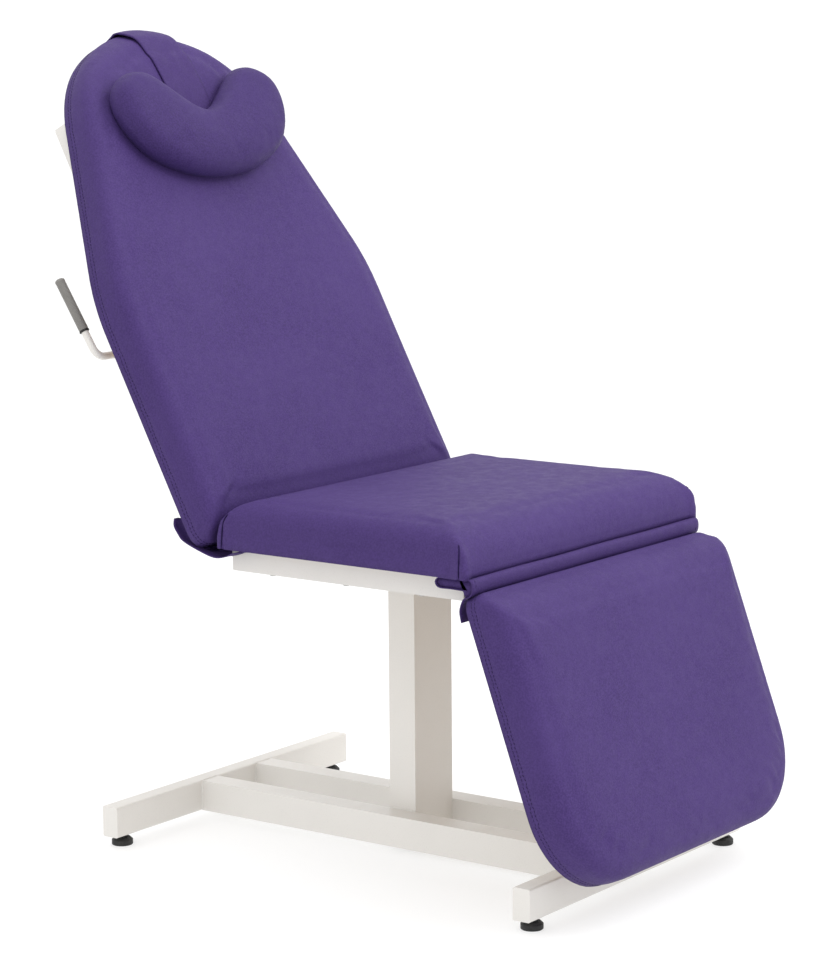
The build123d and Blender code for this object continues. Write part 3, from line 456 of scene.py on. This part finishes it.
def swell(o, held, pressure, cap, frames=20):
    """Cloth under pressure, with the held vertices pinned and no point moving more than cap."""
    start = points_of(o)
    normals = np.empty(len(start) * 3)
    o.data.vertices.foreach_get("normal", normals)
    normals = normals.reshape(-1, 3)
    group = o.vertex_groups.new(name="held")
    group.add([int(i) for i in np.nonzero(held)[0]], 1.0, "REPLACE")
    m = o.modifiers.new("cloth", "CLOTH")
    m.settings.quality = 5
    m.settings.mass = 0.3
    m.settings.tension_stiffness = 12
    m.settings.compression_stiffness = 12
    m.settings.shear_stiffness = 5
    m.settings.bending_stiffness = 0.6
    m.settings.vertex_group_mass = "held"
    m.settings.use_pressure = True
    m.settings.uniform_pressure_force = pressure
    m.settings.effector_weights.gravity = 0
    m.point_cache.frame_start = 1
    m.point_cache.frame_end = frames
    for f in range(1, frames + 1):
        scene.frame_set(f)
    graph = bpy.context.evaluated_depsgraph_get()
    swollen = o.evaluated_get(graph)
    end = np.empty(len(o.data.vertices) * 3)
    swollen.data.vertices.foreach_get("co", end)
    end = end.reshape(-1, 3)
    o.modifiers.clear()
    move = end - start
    length = np.linalg.norm(move, axis=1)
    scale = np.where(length > cap, cap / np.maximum(length, 1e-9), 1.0)
    move *= scale[:, None]
    sunk = np.minimum((move * normals).sum(1) + 0.0006, 0)
    set_points(o, start + move - normals * sunk[:, None])
    o.vertex_groups.clear()
    scene.frame_set(1)
    return o


def subdivided(o):
    """One level of Catmull-Clark subdivision."""
    m = o.modifiers.new("subdivide", "SUBSURF")
    m.levels = m.render_levels = 1
    return baked(o)


def onto(o, points, lift=0.0):
    """Points moved onto the surface of o, and the surface's normals there."""
    graph = bpy.context.evaluated_depsgraph_get()
    tree = BVHTree.FromObject(o, graph)
    spots = []
    normals = []
    for p in points:
        spot, normal, _, _ = tree.find_nearest(Vector(p))
        spots.append(np.array(spot) + np.array(normal) * lift)
        normals.append(np.array(normal))
    return np.array(spots), np.array(normals)


def groove(o, line, depth, width):
    """Presses the surface of o in along a line of world points."""
    co = points_of(o)
    normals = np.empty(len(co) * 3)
    o.data.vertices.foreach_get("normal", normals)
    normals = normals.reshape(-1, 3)
    low, high = line.min(0) - 3 * width, line.max(0) + 3 * width
    near = np.nonzero(((co > low) & (co < high)).all(1))[0]
    a, b = line[:-1], line[1:]
    d = b - a
    best = np.full(len(near), 1e9)
    for start in range(0, len(near), 4000):
        p = co[near[start:start + 4000], None, :]
        f = np.clip(((p - a) * d).sum(-1) / np.maximum((d * d).sum(-1), 1e-12), 0, 1)
        best[start:start + 4000] = np.sqrt(((p - a - f[..., None] * d) ** 2).sum(-1)).min(1)
    press = depth * np.exp(-((best / width) ** 2))
    co[near] -= normals[near] * press[:, None]
    set_points(o, co)


def stitches(name, o, line, material, body, pitch=0.006, length=0.0042, radius=0.0005):
    """A row of thread stitches along a line on the surface of o."""
    line = spaced(line, pitch)
    spots, normals = onto(o, line, radius * 0.35)
    vertices = []
    faces = []
    sides = 5
    profile = ((-0.5, 0.2), (-0.36, 0.9), (0.36, 0.9), (0.5, 0.2))
    for i in range(len(spots) - 1):
        forward = spots[i + 1] - spots[i]
        forward /= max(np.linalg.norm(forward), 1e-9)
        up = normals[i]
        side = np.cross(forward, up)
        side /= max(np.linalg.norm(side), 1e-9)
        base = len(vertices)
        for along, size in profile:
            for k in range(sides):
                a = 2 * math.pi * k / sides
                vertices.append(spots[i] + forward * along * length
                                + (side * math.cos(a) + up * math.sin(a)) * radius * size)
        for ring in range(len(profile) - 1):
            for k in range(sides):
                a, b = base + ring * sides + k, base + ring * sides + (k + 1) % sides
                faces.append((a, b, b + sides, a + sides))
        faces.append([base + k for k in range(sides)][::-1])
        faces.append([base + (len(profile) - 1) * sides + k for k in range(sides)])
    thread = new_object(name, vertices, faces, material)
    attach(thread, body)
    return thread


def round_rod(points, radius, sides=12):
    """Vertices and faces of a round rod along world points, with flat ends."""
    points = np.asarray(points, float)
    forward = np.gradient(points, axis=0)
    forward /= np.linalg.norm(forward, axis=1)[:, None]
    radii = np.full(len(points), radius) if np.isscalar(radius) else np.asarray(radius)
    side = np.cross(forward[0], (0.31, 0.17, 0.93))
    vertices = []
    for i, p in enumerate(points):
        side = side - forward[i] * (side @ forward[i])
        side /= np.linalg.norm(side)
        up = np.cross(forward[i], side)
        for k in range(sides):
            a = 2 * math.pi * k / sides
            vertices.append(p + (side * math.cos(a) + up * math.sin(a)) * radii[i])
    faces = []
    for i in range(len(points) - 1):
        for k in range(sides):
            a, b = i * sides + k, i * sides + (k + 1) % sides
            faces.append((a, b, b + sides, a + sides))
    faces.append([k for k in range(sides)][::-1])
    faces.append([(len(points) - 1) * sides + k for k in range(sides)])
    return vertices, faces


def cloth_grid(name, rows, keep, thickness, material):
    """A thin cloth from a grid of world points; keep says which of its cells exist."""
    rows = np.asarray(rows, float)
    count_u, count_v = rows.shape[:2]
    faces = []
    for i in range(count_u - 1):
        for j in range(count_v - 1):
            if keep[i, j]:
                a = i * count_v + j
                faces.append((a, a + 1, a + count_v + 1, a + count_v))
    o = new_object(name, rows.reshape(-1, 3), faces, material)
    bm = bmesh.new()
    bm.from_mesh(o.data)
    bmesh.ops.delete(bm, geom=[v for v in bm.verts if not v.link_faces], context="VERTS")
    bm.to_mesh(o.data)
    bm.free()
    m = o.modifiers.new("thickness", "SOLIDIFY")
    m.thickness = thickness
    m.offset = 0
    return baked(o)


# ---- outlines of the pads, in millimetres of their sections -----------------------------------
SEAT_OUTLINE = rounded([(-320, -311), (320, -311), (320, 154), (-320, 154)], [12] * 4)

head_turn = [math.radians(17.4 + 145.2 * k / 60) for k in range(61)]
head_arc = [(235 * math.cos(a), 625 + 235 * math.sin(a)) for a in head_turn]
BACK_OUTLINE = rounded(
    [(-321, -6.4), (321, -6.4), (321, 405)] + head_arc + [(-321, 405)],
    [28, 28, 320] + [0] * len(head_arc) + [320],
)
LEG_OUTLINE = rounded(
    [(-321, -478), (321, -478), (321, -21.5), (-321, -21.5)], [130, 130, 25, 25]
)

neck_half = curve_through(
    [(0, 563), (60, 568), (110, 583), (152, 604), (177, 629), (194, 659), (201, 691), (195, 722),
     (176, 742), (150, 753), (128, 754), (106, 746), (84, 731), (56, 709), (28, 690), (0, 681)], 5
)
NECK_OUTLINE = spaced(
    np.vstack((neck_half, (neck_half * (-1, 1))[::-1][1:])), 5, closed=True
)


def inset(outline, amount):
    """An outline moved inwards, or outwards for a negative amount."""
    tangent = np.roll(outline, -1, 0) - np.roll(outline, 1, 0)
    normal = np.stack((-tangent[:, 1], tangent[:, 0]), 1)
    normal /= np.linalg.norm(normal, axis=1)[:, None]
    area = (outline[:, 0] * np.roll(outline[:, 1], -1) - np.roll(outline[:, 0], -1) * outline[:, 1]).sum()
    return outline + normal * amount * (1 if area > 0 else -1)


def closed_line(section, outline, t):
    """World points round an outline, back to its first point, at height t."""
    ring = np.vstack((outline, outline[:1]))
    return section.at(ring[:, 0], ring[:, 1], t)


# ---- pads ---------------------------------------------------------------------------------------


PAD_PRESSURE = 4.0
PAD_SWELL = 0.005
RIM_WIDTH = 10
BOARD_GRIP = 7
SEAT_LOW, BACK_LOW, LEG_LOW = 0.0, 13.0, 8.5
SEAT_HIGH, BACK_HIGH, LEG_HIGH = 70.0, 78.0, 73.5


def pad(name, node, section, outline, low, shape, wall, ends, soften, ears=0.0):
    """A foam pad on its board: its cushion node remeshed, shaped, swollen as cloth, flat behind.

    low is the t of the pad's flat rim, and ears is how far the two corners at its near end reach
    out past the outline.
    """
    source = frame["nodes"][node]
    mesh = source.data.copy()
    mesh.transform(source.matrix_world)
    mesh.materials.clear()
    mesh.materials.append(VINYL)
    o = bpy.data.objects.new(name, mesh)
    scene.collection.objects.link(o)
    remesh(o, VOXEL)
    relax(o, soften)
    p = section.local(points_of(o))
    d, _ = edge_distance(p[:, :2], outline)
    p[(d > RIM_WIDTH) & (p[:, 2] < low + 14), 2] = low + 6
    p = shape(p, d)
    set_points(o, section.at(p[:, 0], p[:, 1], p[:, 2]))
    swell(o, p[:, 2] < low + BOARD_GRIP, PAD_PRESSURE, PAD_SWELL)
    relax(o, 1, 0.4)
    subdivided(o)
    # The cover is pulled tight round the board: the wall stands straight on the outline as far up
    # as wall, the rim lies flat, and the ends that meet another pad stay in their own length.
    p = section.local(points_of(o))
    d, near = edge_distance(p[:, :2], outline)
    firm = 0.85 * (1 - smooth_step(p[:, 2], low + wall * 0.6, low + wall)) * (1 - smooth_step(d, 6, 9))
    p[:, :2] += (near - p[:, :2]) * firm[:, None]
    p[(d < 18) & (p[:, 2] < low + BOARD_GRIP), 2] = low
    p[:, 2] = np.maximum(p[:, 2], low)
    p[:, 1] = np.clip(p[:, 1], *ends)
    x, from_end = p[:, 0].copy(), p[:, 1] - ends[0]
    p[:, 0] += np.sign(x) * ears * (1 - smooth_step(from_end, 4, 30)) * smooth_step(np.abs(x), 285, 316)
    p[:, 1] -= ears * (1 - smooth_step(from_end, 4, 40)) * smooth_step(np.abs(x), 294, 314)
    set_points(o, section.at(p[:, 0], p[:, 1], p[:, 2]))
    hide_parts(node)
    return o


def head_drop(x, s):
    """How far the cover's head end stays below the cushion's, most in its middle."""
    return 5.0 * smooth_step(s, 700, 862) * (1 - smooth_step(np.abs(x), 110, 240))


def pulled_in(v, half, position, reach, amount):
    """Draws the middle of two straight sides in and leaves their corners out."""
    along = np.clip(position / reach, -1, 1)
    return v - np.sign(v) * amount * (1 - along ** 2) * np.clip(np.abs(v) / half, 0, 1) ** 6


def crowned(p, d, low, high, crown):
    """Raises the front face towards its middle; d is the distance from the outline."""
    front = smooth_step(p[:, 2], (low + high) / 2, high - 4)
    p[:, 2] += crown * front * (1 - np.exp(-d / 60.0))
    return p


def seat_shape(p, d):
    middle, reach = -78.5, 232.5
    x, s = p[:, 0].copy(), p[:, 1].copy() - middle
    p[:, 0] = pulled_in(x, 320, s, reach, 3.0)
    p[:, 1] = middle + np.where(s < 0, s, pulled_in(s, reach, x, 320, 3.0))
    # The near rim turns under, and the top rolls further over towards the sides.
    roll = 4.0 * np.clip(1 - d / 50, 0, 1) ** 2 * smooth_step(p[:, 2], 20, 60)
    p[:, 2] -= roll * smooth_step(np.abs(x), 262, 300)
    return crowned(p, d, SEAT_LOW, SEAT_HIGH, 3.0)


def back_shape(p, d):
    p[:, 0] = pulled_in(p[:, 0], 321, p[:, 1] - 200, 210, 1.5)
    roll = 8.0 * smooth_step(p[:, 2], 30, 72) * smooth_step(p[:, 1], 800, 860)
    p[:, 1] -= head_drop(p[:, 0], p[:, 1]) + roll
    crown_end = smooth_step(p[:, 1], 700, 830) * np.clip(1 - d / 55, 0, 1) ** 2
    p[:, 2] -= (p[:, 2] - BACK_LOW) * 0.2 * crown_end
    return crowned(p, d, BACK_LOW, BACK_HIGH, 2.0)


def leg_shape(p, d):
    p[:, 0] = pulled_in(p[:, 0], 321, p[:, 1] + 200, 180, 0.5)
    return crowned(p, d, LEG_LOW, LEG_HIGH, 2.5)


VOXEL = 0.006
BACK_OUTLINE[:, 1] -= head_drop(BACK_OUTLINE[:, 0], BACK_OUTLINE[:, 1])

seat_pad = pad("seat_pad", "seat_cushion", SEAT, SEAT_OUTLINE, SEAT_LOW, seat_shape,
               wall=26, ends=(-311, 154), soften=6, ears=5.0)
back_pad = pad("backrest_pad", "backrest_cushion", BACK, BACK_OUTLINE, BACK_LOW, back_shape,
               wall=36, ends=(-6.4, 862), soften=2)
leg_pad = pad("legrest_pad", "legrest_cushion", LEG, LEG_OUTLINE, LEG_LOW, leg_shape,
              wall=34, ends=(-480, -21.5), soften=8)


def seam_rows(o, section, outline, name, body, heights):
    """Rows of stitches round a pad's side wall, pressed a little into the cover."""
    for k, t in enumerate(heights):
        line, _ = onto(o, closed_line(section, inset(outline, -4), t))
        groove(o, line, 0.0009, 0.0025)
    for k, t in enumerate(heights):
        line, _ = onto(o, closed_line(section, inset(outline, -4), t))
        stitches(f"{name}_stitches_{k}", o, line, THREAD, body)


seam_rows(back_pad, BACK, BACK_OUTLINE, "backrest", "backrest", (22, 28))
seam_rows(leg_pad, LEG, LEG_OUTLINE, "legrest", "legrest", (17, 23))

# Each seat corner gets a pressed groove with a thin rod in it, darker than the vinyl: painted shade in the
# seam's crease.
for k, (x, y) in enumerate(((-326, -303), (326, -303), (-324, 138), (324, 138))):
    heights = np.linspace(2, 64, 30)
    line, _ = onto(seat_pad, SEAT.at(x, y, heights))
    groove(seat_pad, line, 0.0016, 0.0026)
    line, _ = onto(seat_pad, SEAT.at(x, y, heights), 0.0003)
    line = np.stack([np.polyval(np.polyfit(heights, c, 3), heights) for c in line.T], 1)
    v, f = round_rod(line, np.where(np.abs(np.linspace(-1, 1, 30)) > 0.9, 0.0004, 0.0009), 8)
    seam_shade = new_object(f"seat_corner_seam_shade_{k}", v, f, SEAM_CREASE_SHADE)
    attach(seam_shade, "base")
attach(seat_pad, "base")
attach(back_pad, "backrest")
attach(leg_pad, "legrest")

# The covers are turned in round the boards and stapled to their backs.


def turned_edge(name, outline, section, t, body, width=22.0):
    ring_count = 5
    outer = inset(outline, 10.0)
    rings = []
    for k in range(ring_count):
        f = k / (ring_count - 1)
        ring = inset(outer, width * f)
        lift = 0.9 * math.sin(math.pi * min(1, f * 1.4 + 0.15))
        rings.append(section.at(ring[:, 0], ring[:, 1], t - 0.2 - lift))
    vertices = np.concatenate(rings)
    count = len(outer)
    faces = []
    for k in range(ring_count - 1):
        for i in range(count):
            j = (i + 1) % count
            faces.append((k * count + i, k * count + j, (k + 1) * count + j, (k + 1) * count + i))
    o = new_object(name, vertices, faces, VINYL)
    m = o.modifiers.new("thickness", "SOLIDIFY")
    m.thickness = 0.0008
    m.offset = 0
    baked(o)
    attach(o, body)
    path = spaced(np.vstack((inset(outer, width * 0.6), inset(outer, width * 0.6)[:1])), 34)
    vertices = []
    faces = []
    for i in range(len(path) - 1):
        direction = path[i + 1] - path[i]
        direction /= np.linalg.norm(direction)
        middle = path[i]
        ends = [middle - direction * 5.0, middle + direction * 5.0]
        line = section.at([e[0] for e in ends], [e[1] for e in ends], t - 1.6)
        v, f = round_rod(np.linspace(line[0], line[1], 4), 0.00045, 6)
        base = len(vertices)
        vertices += v
        faces += [[base + n for n in face] for face in f]
    staples = new_object(f"{name}_staples", vertices, faces, ZINC)
    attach(staples, body)


turned_edge("seat_turned_edge", SEAT_OUTLINE, SEAT, SEAT_LOW, "base")
turned_edge("backrest_turned_edge", BACK_OUTLINE, BACK, BACK_LOW, "backrest")
turned_edge("legrest_turned_edge", LEG_OUTLINE, LEG, LEG_LOW, "legrest")

# ---- neck cushion, strap and counterweight ------------------------------------------------------
NECK_LOW, NECK_HIGH = 79.0, 137.0
NECK_PRESSURE, NECK_SWELL = 4.0, 0.006


def roundness(d, reach, power):
    """The height of a superellipse's quarter at a distance d in from its edge."""
    return (1 - (1 - np.clip(d / reach, 0, 1)) ** power) ** (1 / power)


neck = block(inset(NECK_OUTLINE, 1.5), NECK_LOW, NECK_HIGH, BACK, "neck_cushion_cover", NECK_VINYL, 10.0)
remesh(neck, 0.0045)
p = BACK.local(points_of(neck))
d, _ = edge_distance(p[:, :2], inset(NECK_OUTLINE, 1.5))
middle = 104.0
p[:, 2] = middle + (p[:, 2] - middle) * np.where(
    p[:, 2] > middle, roundness(d, 44.0, 2.4), roundness(d, 26.0, 2.4))
set_points(neck, BACK.at(p[:, 0], p[:, 1], p[:, 2]))
relax(neck, 6)
p = BACK.local(points_of(neck))
swell(neck, p[:, 2] < NECK_LOW + 3, NECK_PRESSURE, NECK_SWELL)
relax(neck, 3)
subdivided(neck)
p = BACK.local(points_of(neck))
p[:, 2] = np.maximum(p[:, 2], NECK_LOW)
p[:, 0] = p[:, 0] * 0.99 + 4.0
set_points(neck, BACK.at(p[:, 0], p[:, 1], p[:, 2]))
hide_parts("neck_cushion")
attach(neck, "neck_pad")

STRAP_HALF = 46.0
STRAP_THICKNESS = 0.0026


def strap(name, path, lean, node, reach):
    """A flat strap along a path of (s, t) points in the backrest's section, lying on the pad
    wherever the path passes within reach of it."""
    line = curve_through(path, 5)
    xs = np.linspace(-STRAP_HALF, STRAP_HALF, 19)
    rows = np.concatenate([BACK.at(xs + lean(s), s, t) for s, t in line])
    spots, normals = onto(back_pad, rows, 0.0019)
    stand_off = 0.0042 * smooth_step(line[:, 0], 800, 850) * smooth_step(line[:, 1], 14, 40)
    spots = spots + normals * np.repeat(stand_off, len(xs))[:, None]
    loose = smooth_step(((rows - spots) * normals).sum(1), reach, reach + 0.006)[:, None]
    rows = (spots * (1 - loose) + rows * loose).reshape(len(line), len(xs), 3)
    keep = np.ones((len(line) - 1, len(xs) - 1), bool)
    o = cloth_grid(name, rows, keep, STRAP_THICKNESS, CLOTH)
    if node:
        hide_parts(node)
    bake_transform(o)


def strap_lean(s):
    """How far the front strap leans to the side on its way down to the cushion."""
    return 12.0 * np.clip((850 - s) / 110.0, 0, 1)


strap(
    "neck_strap_front",
    [(662, 79.8), (696, 80.4), (730, 81.2), (790, 80.0), (824, 76.0), (842, 69.0), (852, 60), (857.3, 50),
     (858.3, 40)],
    strap_lean, "neck_strap",
    reach=0.014,
)
strap(
    "neck_strap_back",
    [(858.3, 40), (858.8, 30), (857.5, 20), (852, 13.0), (842, 10.4), (800, 10.2), (760, 10.2),
     (728, 9.2)],
    lambda s: 0.0, None,
    reach=0.004,
)

weight_outline = rounded([(-50, 690), (50, 690), (50, 735), (-50, 735)], [8, 8, 8, 8], 4)
weight = block(weight_outline, -2.0, 11.4, BACK, "counterweight_pouch", CLOTH, 5.0)
remesh(weight, 0.003)
p = BACK.local(points_of(weight))
d, _ = edge_distance(p[:, :2], weight_outline)
middle = 4.7
p[:, 2] = middle + (p[:, 2] - middle) * (0.16 + 0.84 * roundness(d, 15.0, 2.2))
set_points(weight, BACK.at(p[:, 0], p[:, 1], p[:, 2]))
relax(weight, 4)
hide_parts("neck_counterweight")
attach(weight, "neck_weight")

# ---- bridge fabrics --------------------------------------------------------------------------------


CLOTH_THICKNESS = 0.0014
CLOTH_HALF = 314


def fabric(name, tight, loose, change, cut, node, sewn=None):
    """A band across the chair: tight in the middle, changing to a slack fold at its ends.

    cut lists (from, to, where) openings for the hinges, the same on both sides. sewn is the (y, z)
    at which the fold's open ends are sewn shut. Returns the band and its two end pieces, if any.
    """
    tight = curve_through(tight, 3)
    loose = curve_through(loose, 3)
    count = max(len(tight), len(loose))

    def resampled(line):
        f = np.linspace(0, len(line) - 1, count)
        return np.stack([np.interp(f, np.arange(len(line)), line[:, k]) for k in (0, 1)], 1)

    tight, loose = resampled(tight), resampled(loose)
    xs = np.unique(np.concatenate([np.linspace(-CLOTH_HALF, CLOTH_HALF, 127)] + [
        np.array([-high, -low, low, high]) for low, high, _ in cut]))
    rows = []
    keep = np.ones((count - 1, len(xs) - 1), bool)
    for i in range(count):
        w = smooth_step(np.abs(xs), *change)
        y = tight[i, 0] * (1 - w) + loose[i, 0] * w
        z = tight[i, 1] * (1 - w) + loose[i, 1] * w
        wave = 0.7 * np.sin(xs / 41 + i * 0.07) * math.sin(math.pi * i / (count - 1))
        rows.append(np.stack((xs * MM, COLUMN_Y + y * MM, (z + wave) * MM), 1))
    rows = np.array(rows)
    for i in range(count - 1):
        for j in range(len(xs) - 1):
            middle_x = abs(xs[j] + xs[j + 1]) / 2
            y = (rows[i, j, 1] + rows[i + 1, j, 1]) / 2 - COLUMN_Y
            z = (rows[i, j, 2] + rows[i + 1, j, 2]) / 2
            for low, high, where in cut:
                if low <= middle_x <= high and where(y / MM, z / MM):
                    keep[i, j] = False
    o = cloth_grid(name, rows, keep, CLOTH_THICKNESS, CLOTH)
    ends = []
    if sewn:
        for j, side in ((0, -1), (len(xs) - 1, 1)):
            near = np.linalg.norm(rows[:, j, 1:] - (np.array(sewn) * MM + (COLUMN_Y, 0)), axis=1)
            ring = rows[:near.argmin() + 1, j] - np.array((side * 0.0035, 0, 0))
            end = new_object(f"{name}_end_{'left' if side > 0 else 'right'}", ring,
                             [range(len(ring))], CLOTH)
            thick = end.modifiers.new("thickness", "SOLIDIFY")
            thick.thickness = CLOTH_THICKNESS
            thick.offset = 0
            ends.append(baked(end))
    if node:
        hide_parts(node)
    return o, ends


def over_backrest(s, t):
    """The (y, z) of a point of the backrest's section, in millimetres from the column."""
    q = BACK.at(0, s, t) / MM
    return (q[1] - COLUMN_Y / MM, q[2])


rear, _ = fabric(
    "bridge_cloth_rear",
    [over_backrest(30, 11.9), over_backrest(8, 11.9), over_backrest(-9.5, 11.0), (180, 499), (155, 495),
     (130, 501), (110, 511.6), (95, 512)],
    [(236, 550), (237, 539), (230, 528), (219, 517), (189, 505), (160, 497), (140, 499), (120, 507),
     (95, 512)],
    (283, 304),
    [
        (136, 152, lambda y, z: y > 150),
        (174, 220, lambda y, z: y > 183),
        (255, 281, lambda y, z: y < 157),
    ],
    "bridge_fabric_rear",
)
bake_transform(rear)

UNDER_SEAT = [(-300, 512.0), (-280, 511.8), (-262, 511.6), (-256, 505), (-262, 497.5), (-285, 497),
              (-311, 496.6)]
front, front_ends = fabric(
    "bridge_cloth_front", UNDER_SEAT, UNDER_SEAT, (283, 304),
    [(193, 286, lambda y, z: True)],
    "bridge_fabric_front", (-311, 496.6),
)
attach(front, "base")

FOLD = [(-296, 512.0), (-309, 511.6), (-314.5, 513.2), (-319, 510.4), (-320.8, 504), (-320.6, 496.8),
        (-318.4, 491.0), (-313.5, 487.2), (-306.8, 485.0), (-302, 477), (-299, 465), (-302, 449)]
fold, fold_ends = fabric(
    "bridge_cloth_front_fold", FOLD, FOLD, (283, 304),
    [(193, 286, lambda y, z: y > -308 or z < 484)],
    None, (-306.8, 485.0),
)


def crumpled(piece):
    """Attaches a piece of the front fold to the base and gives it its own mesh."""
    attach(piece, "base")
    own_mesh(piece)


for piece in [fold] + fold_ends:
    crumpled(piece)
for piece in front_ends:
    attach(piece, "base")

for side in (-1, 1):
    hem = [(side * 305 * MM, COLUMN_Y + y * MM, z * MM) for y, z in curve_through(FOLD[2:8], 3)]
    crumpled(stitches(f"bridge_hem_{'left' if side > 0 else 'right'}", fold, np.array(hem), THREAD, "base"))

# ---- release lever's grip ------------------------------------------------------------------------
lean = math.radians(5)
foot_s, foot_t = 336 + (136 - 88) * math.cos(lean), -27 - (136 - 88) * math.sin(lean)


def along_arm(length):
    return BACK.at(-312, foot_s + length * math.cos(lean), foot_t - length * math.sin(lean))


steps = np.linspace(0, 92, 231)
profile = 7.6 + 0.38 * np.cos(steps / 2.3 * 2 * math.pi)
profile = np.where(steps < 2, 7.0 + 0.3 * steps, profile)
profile = np.where(steps > 86, 8.0, profile)
dome = np.clip((steps - 88) / 4, 0, 1)
profile = np.where(steps > 88, 8.0 * np.sqrt(np.maximum(1 - dome ** 2, 0.02)), profile)
v, f = round_rod(np.array([along_arm(a) for a in steps]), profile * MM, 28)
grip = new_object("lever_grip_ribbed", v, f, GRIP)
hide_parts("release_lever_grip")
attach(grip, "lever")
v, f = round_rod(np.array([along_arm(a) for a in np.linspace(-3.2, 0.6, 7)]),
                 np.array([6.9, 7.8, 8.2, 8.3, 8.2, 7.8, 6.9]) * MM, 28)
ring = new_object("lever_grip_ring", v, f, BLACK)
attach(ring, "lever")

# ---- welds and screws ------------------------------------------------------------------------------


def bead(name, ends, body, radius=1.9):
    """A weld bead along straight runs between pairs of points, in millimetres from the column."""
    vertices = []
    faces = []
    for run, (a, b) in enumerate(ends):
        a, b = (np.array((q[0], q[1] + COLUMN_Y / MM, q[2])) * MM for q in (a, b))
        count = max(6, int(np.linalg.norm(b - a) / 0.0017))
        f = np.linspace(0, 1, count)
        line = a + (b - a) * f[:, None]
        n = np.arange(count)
        ripple = radius * (1 + 0.13 * np.sin(n * 2.1 + run) + 0.06 * np.sin(n * 0.37))
        ripple *= np.clip(np.minimum(f, 1 - f) * count / 2.5, 0.35, 1)
        v, fc = round_rod(line, ripple * MM, 8)
        base = len(vertices)
        vertices += v
        faces += [[base + n for n in face] for face in fc]
    o = new_object(name, vertices, faces, WHITE)
    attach(o, body)


for side, x in (("right", -70.0), ("left", 70.0)):
    for end, y in (("front", -380.0), ("rear", 380.0)):
        corners = [(x - 20, y, 17.5), (x - 20, y, 66.5), (x + 20, y, 66.5), (x + 20, y, 17.5)]
        bead(f"weld_rail_{side}_{end}", list(zip(corners[:-1], corners[1:])), "base")
bead("weld_column_foot", [((sx * 50, -25, 67.5), (sx * 50, 25, 67.5)) for sx in (-1, 1)], "base")
top = [(-50, -25), (50, -25), (50, 25), (-50, 25)]
bead("weld_column_top", [((*a, 466.2), (*b, 466.2)) for a, b in zip(top, top[1:] + top[:1])], "base")
for end, y in (("front", -45), ("rear", 45)):
    bead(f"weld_plate_{end}", [((-88, y + k * 20, 473.2), (88, y + k * 20, 473.2)) for k in (-1, 1)],
         "base", radius=1.4)


def screws(name, section, places, t, body, radius=6.0):
    """Pan-head screws with a small round recess, heads proud of t."""
    vertices = []
    faces = []
    sides = 20
    rings = ((1.0, 0.0), (1.0, 1.2), (0.9, 2.2), (0.66, 3.0), (0.3, 3.2))
    for x, s in places:
        base = len(vertices)
        for size, height in rings:
            a = np.arange(sides) * 2 * math.pi / sides
            r = radius * size
            vertices += list(section.at(x + r * np.cos(a), s + r * np.sin(a), t - height))
        for k in range(len(rings) - 1):
            for i in range(sides):
                a, b = base + k * sides + i, base + k * sides + (i + 1) % sides
                faces.append((a, b, b + sides, a + sides))
        vertices += list(section.at([x], [s], t - 1.9))
        last = len(vertices) - 1
        for i in range(sides):
            a, b = base + (len(rings) - 1) * sides + i, base + (len(rings) - 1) * sides + (i + 1) % sides
            faces.append((a, b, last))
    o = new_object(name, vertices, faces, ZINC)
    bm = bmesh.new()
    bm.from_mesh(o.data)
    bmesh.ops.recalc_face_normals(bm, faces=bm.faces)
    bm.to_mesh(o.data)
    bm.free()
    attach(o, body)


screws("backrest_screws", BACK, [(x, s) for x in (-197, 197) for s in (60, 240, 460, 660)], -12.0, "backrest")
screws("legrest_screws", LEG, [(x, s) for x in (-228, 228) for s in (-100, -230, -355)], -11.5, "legrest")
screws("seat_screws", SEAT, [(x, s) for x in (-268, 268) for s in (-200, -60, 80)], -40.0, "base")

# ---- floor, light and camera ---------------------------------------------------------------------
floor = new_object("floor", [(-9, -9, 0), (9, -9, 0), (9, 9, 0), (-9, 9, 0)], [(0, 1, 2, 3)], FLOOR, False)

world = bpy.data.worlds.new("studio")
scene.world = world
world.use_nodes = True
world.node_tree.nodes["Background"].inputs["Color"].default_value = (1, 1, 1, 1)
world.node_tree.nodes["Background"].inputs["Strength"].default_value = 1.1


def softbox(name, place, target, size, power):
    light = bpy.data.lights.new(name, "AREA")
    light.shape = "RECTANGLE"
    light.size, light.size_y = size
    light.energy = power
    o = bpy.data.objects.new(name, light)
    scene.collection.objects.link(o)
    o.location = place
    o.rotation_euler = (Vector(target) - Vector(place)).to_track_quat("-Z", "Y").to_euler()
    return o


softbox("key", (1.0, -2.6, 3.6), (0, 0, 0.6), (2.4, 2.4), 72)
softbox("top", (0, 0.4, 4.2), (0, 0, 0.5), (3.0, 3.0), 38)

azimuth, elevation, roll = (math.radians(v) for v in (-53.84, 9.21, -0.46))
back_axis = Vector((math.sin(azimuth) * math.cos(elevation), -math.cos(azimuth) * math.cos(elevation),
                    math.sin(elevation)))
right_axis = Vector((math.cos(azimuth), math.sin(azimuth), 0))
up_axis = back_axis.cross(right_axis)
c, s = math.cos(roll), math.sin(roll)
right_axis, up_axis = right_axis * c + up_axis * s, up_axis * c - right_axis * s
camera_data = bpy.data.cameras.new("camera")
camera_data.lens = 114.59
camera_data.sensor_width = 36
camera_data.clip_end = 60
camera = bpy.data.objects.new("camera", camera_data)
scene.collection.objects.link(camera)
place = Vector((-3.8549, COLUMN_Y - 2.8066, 1.3553))
matrix = camera.matrix_world.to_3x3()
for k, axis in enumerate((right_axis, up_axis, back_axis)):
    matrix.col[k] = axis
camera.matrix_world = matrix.to_4x4()
camera.location = place
scene.camera = camera
scene.view_settings.view_transform = "Standard"
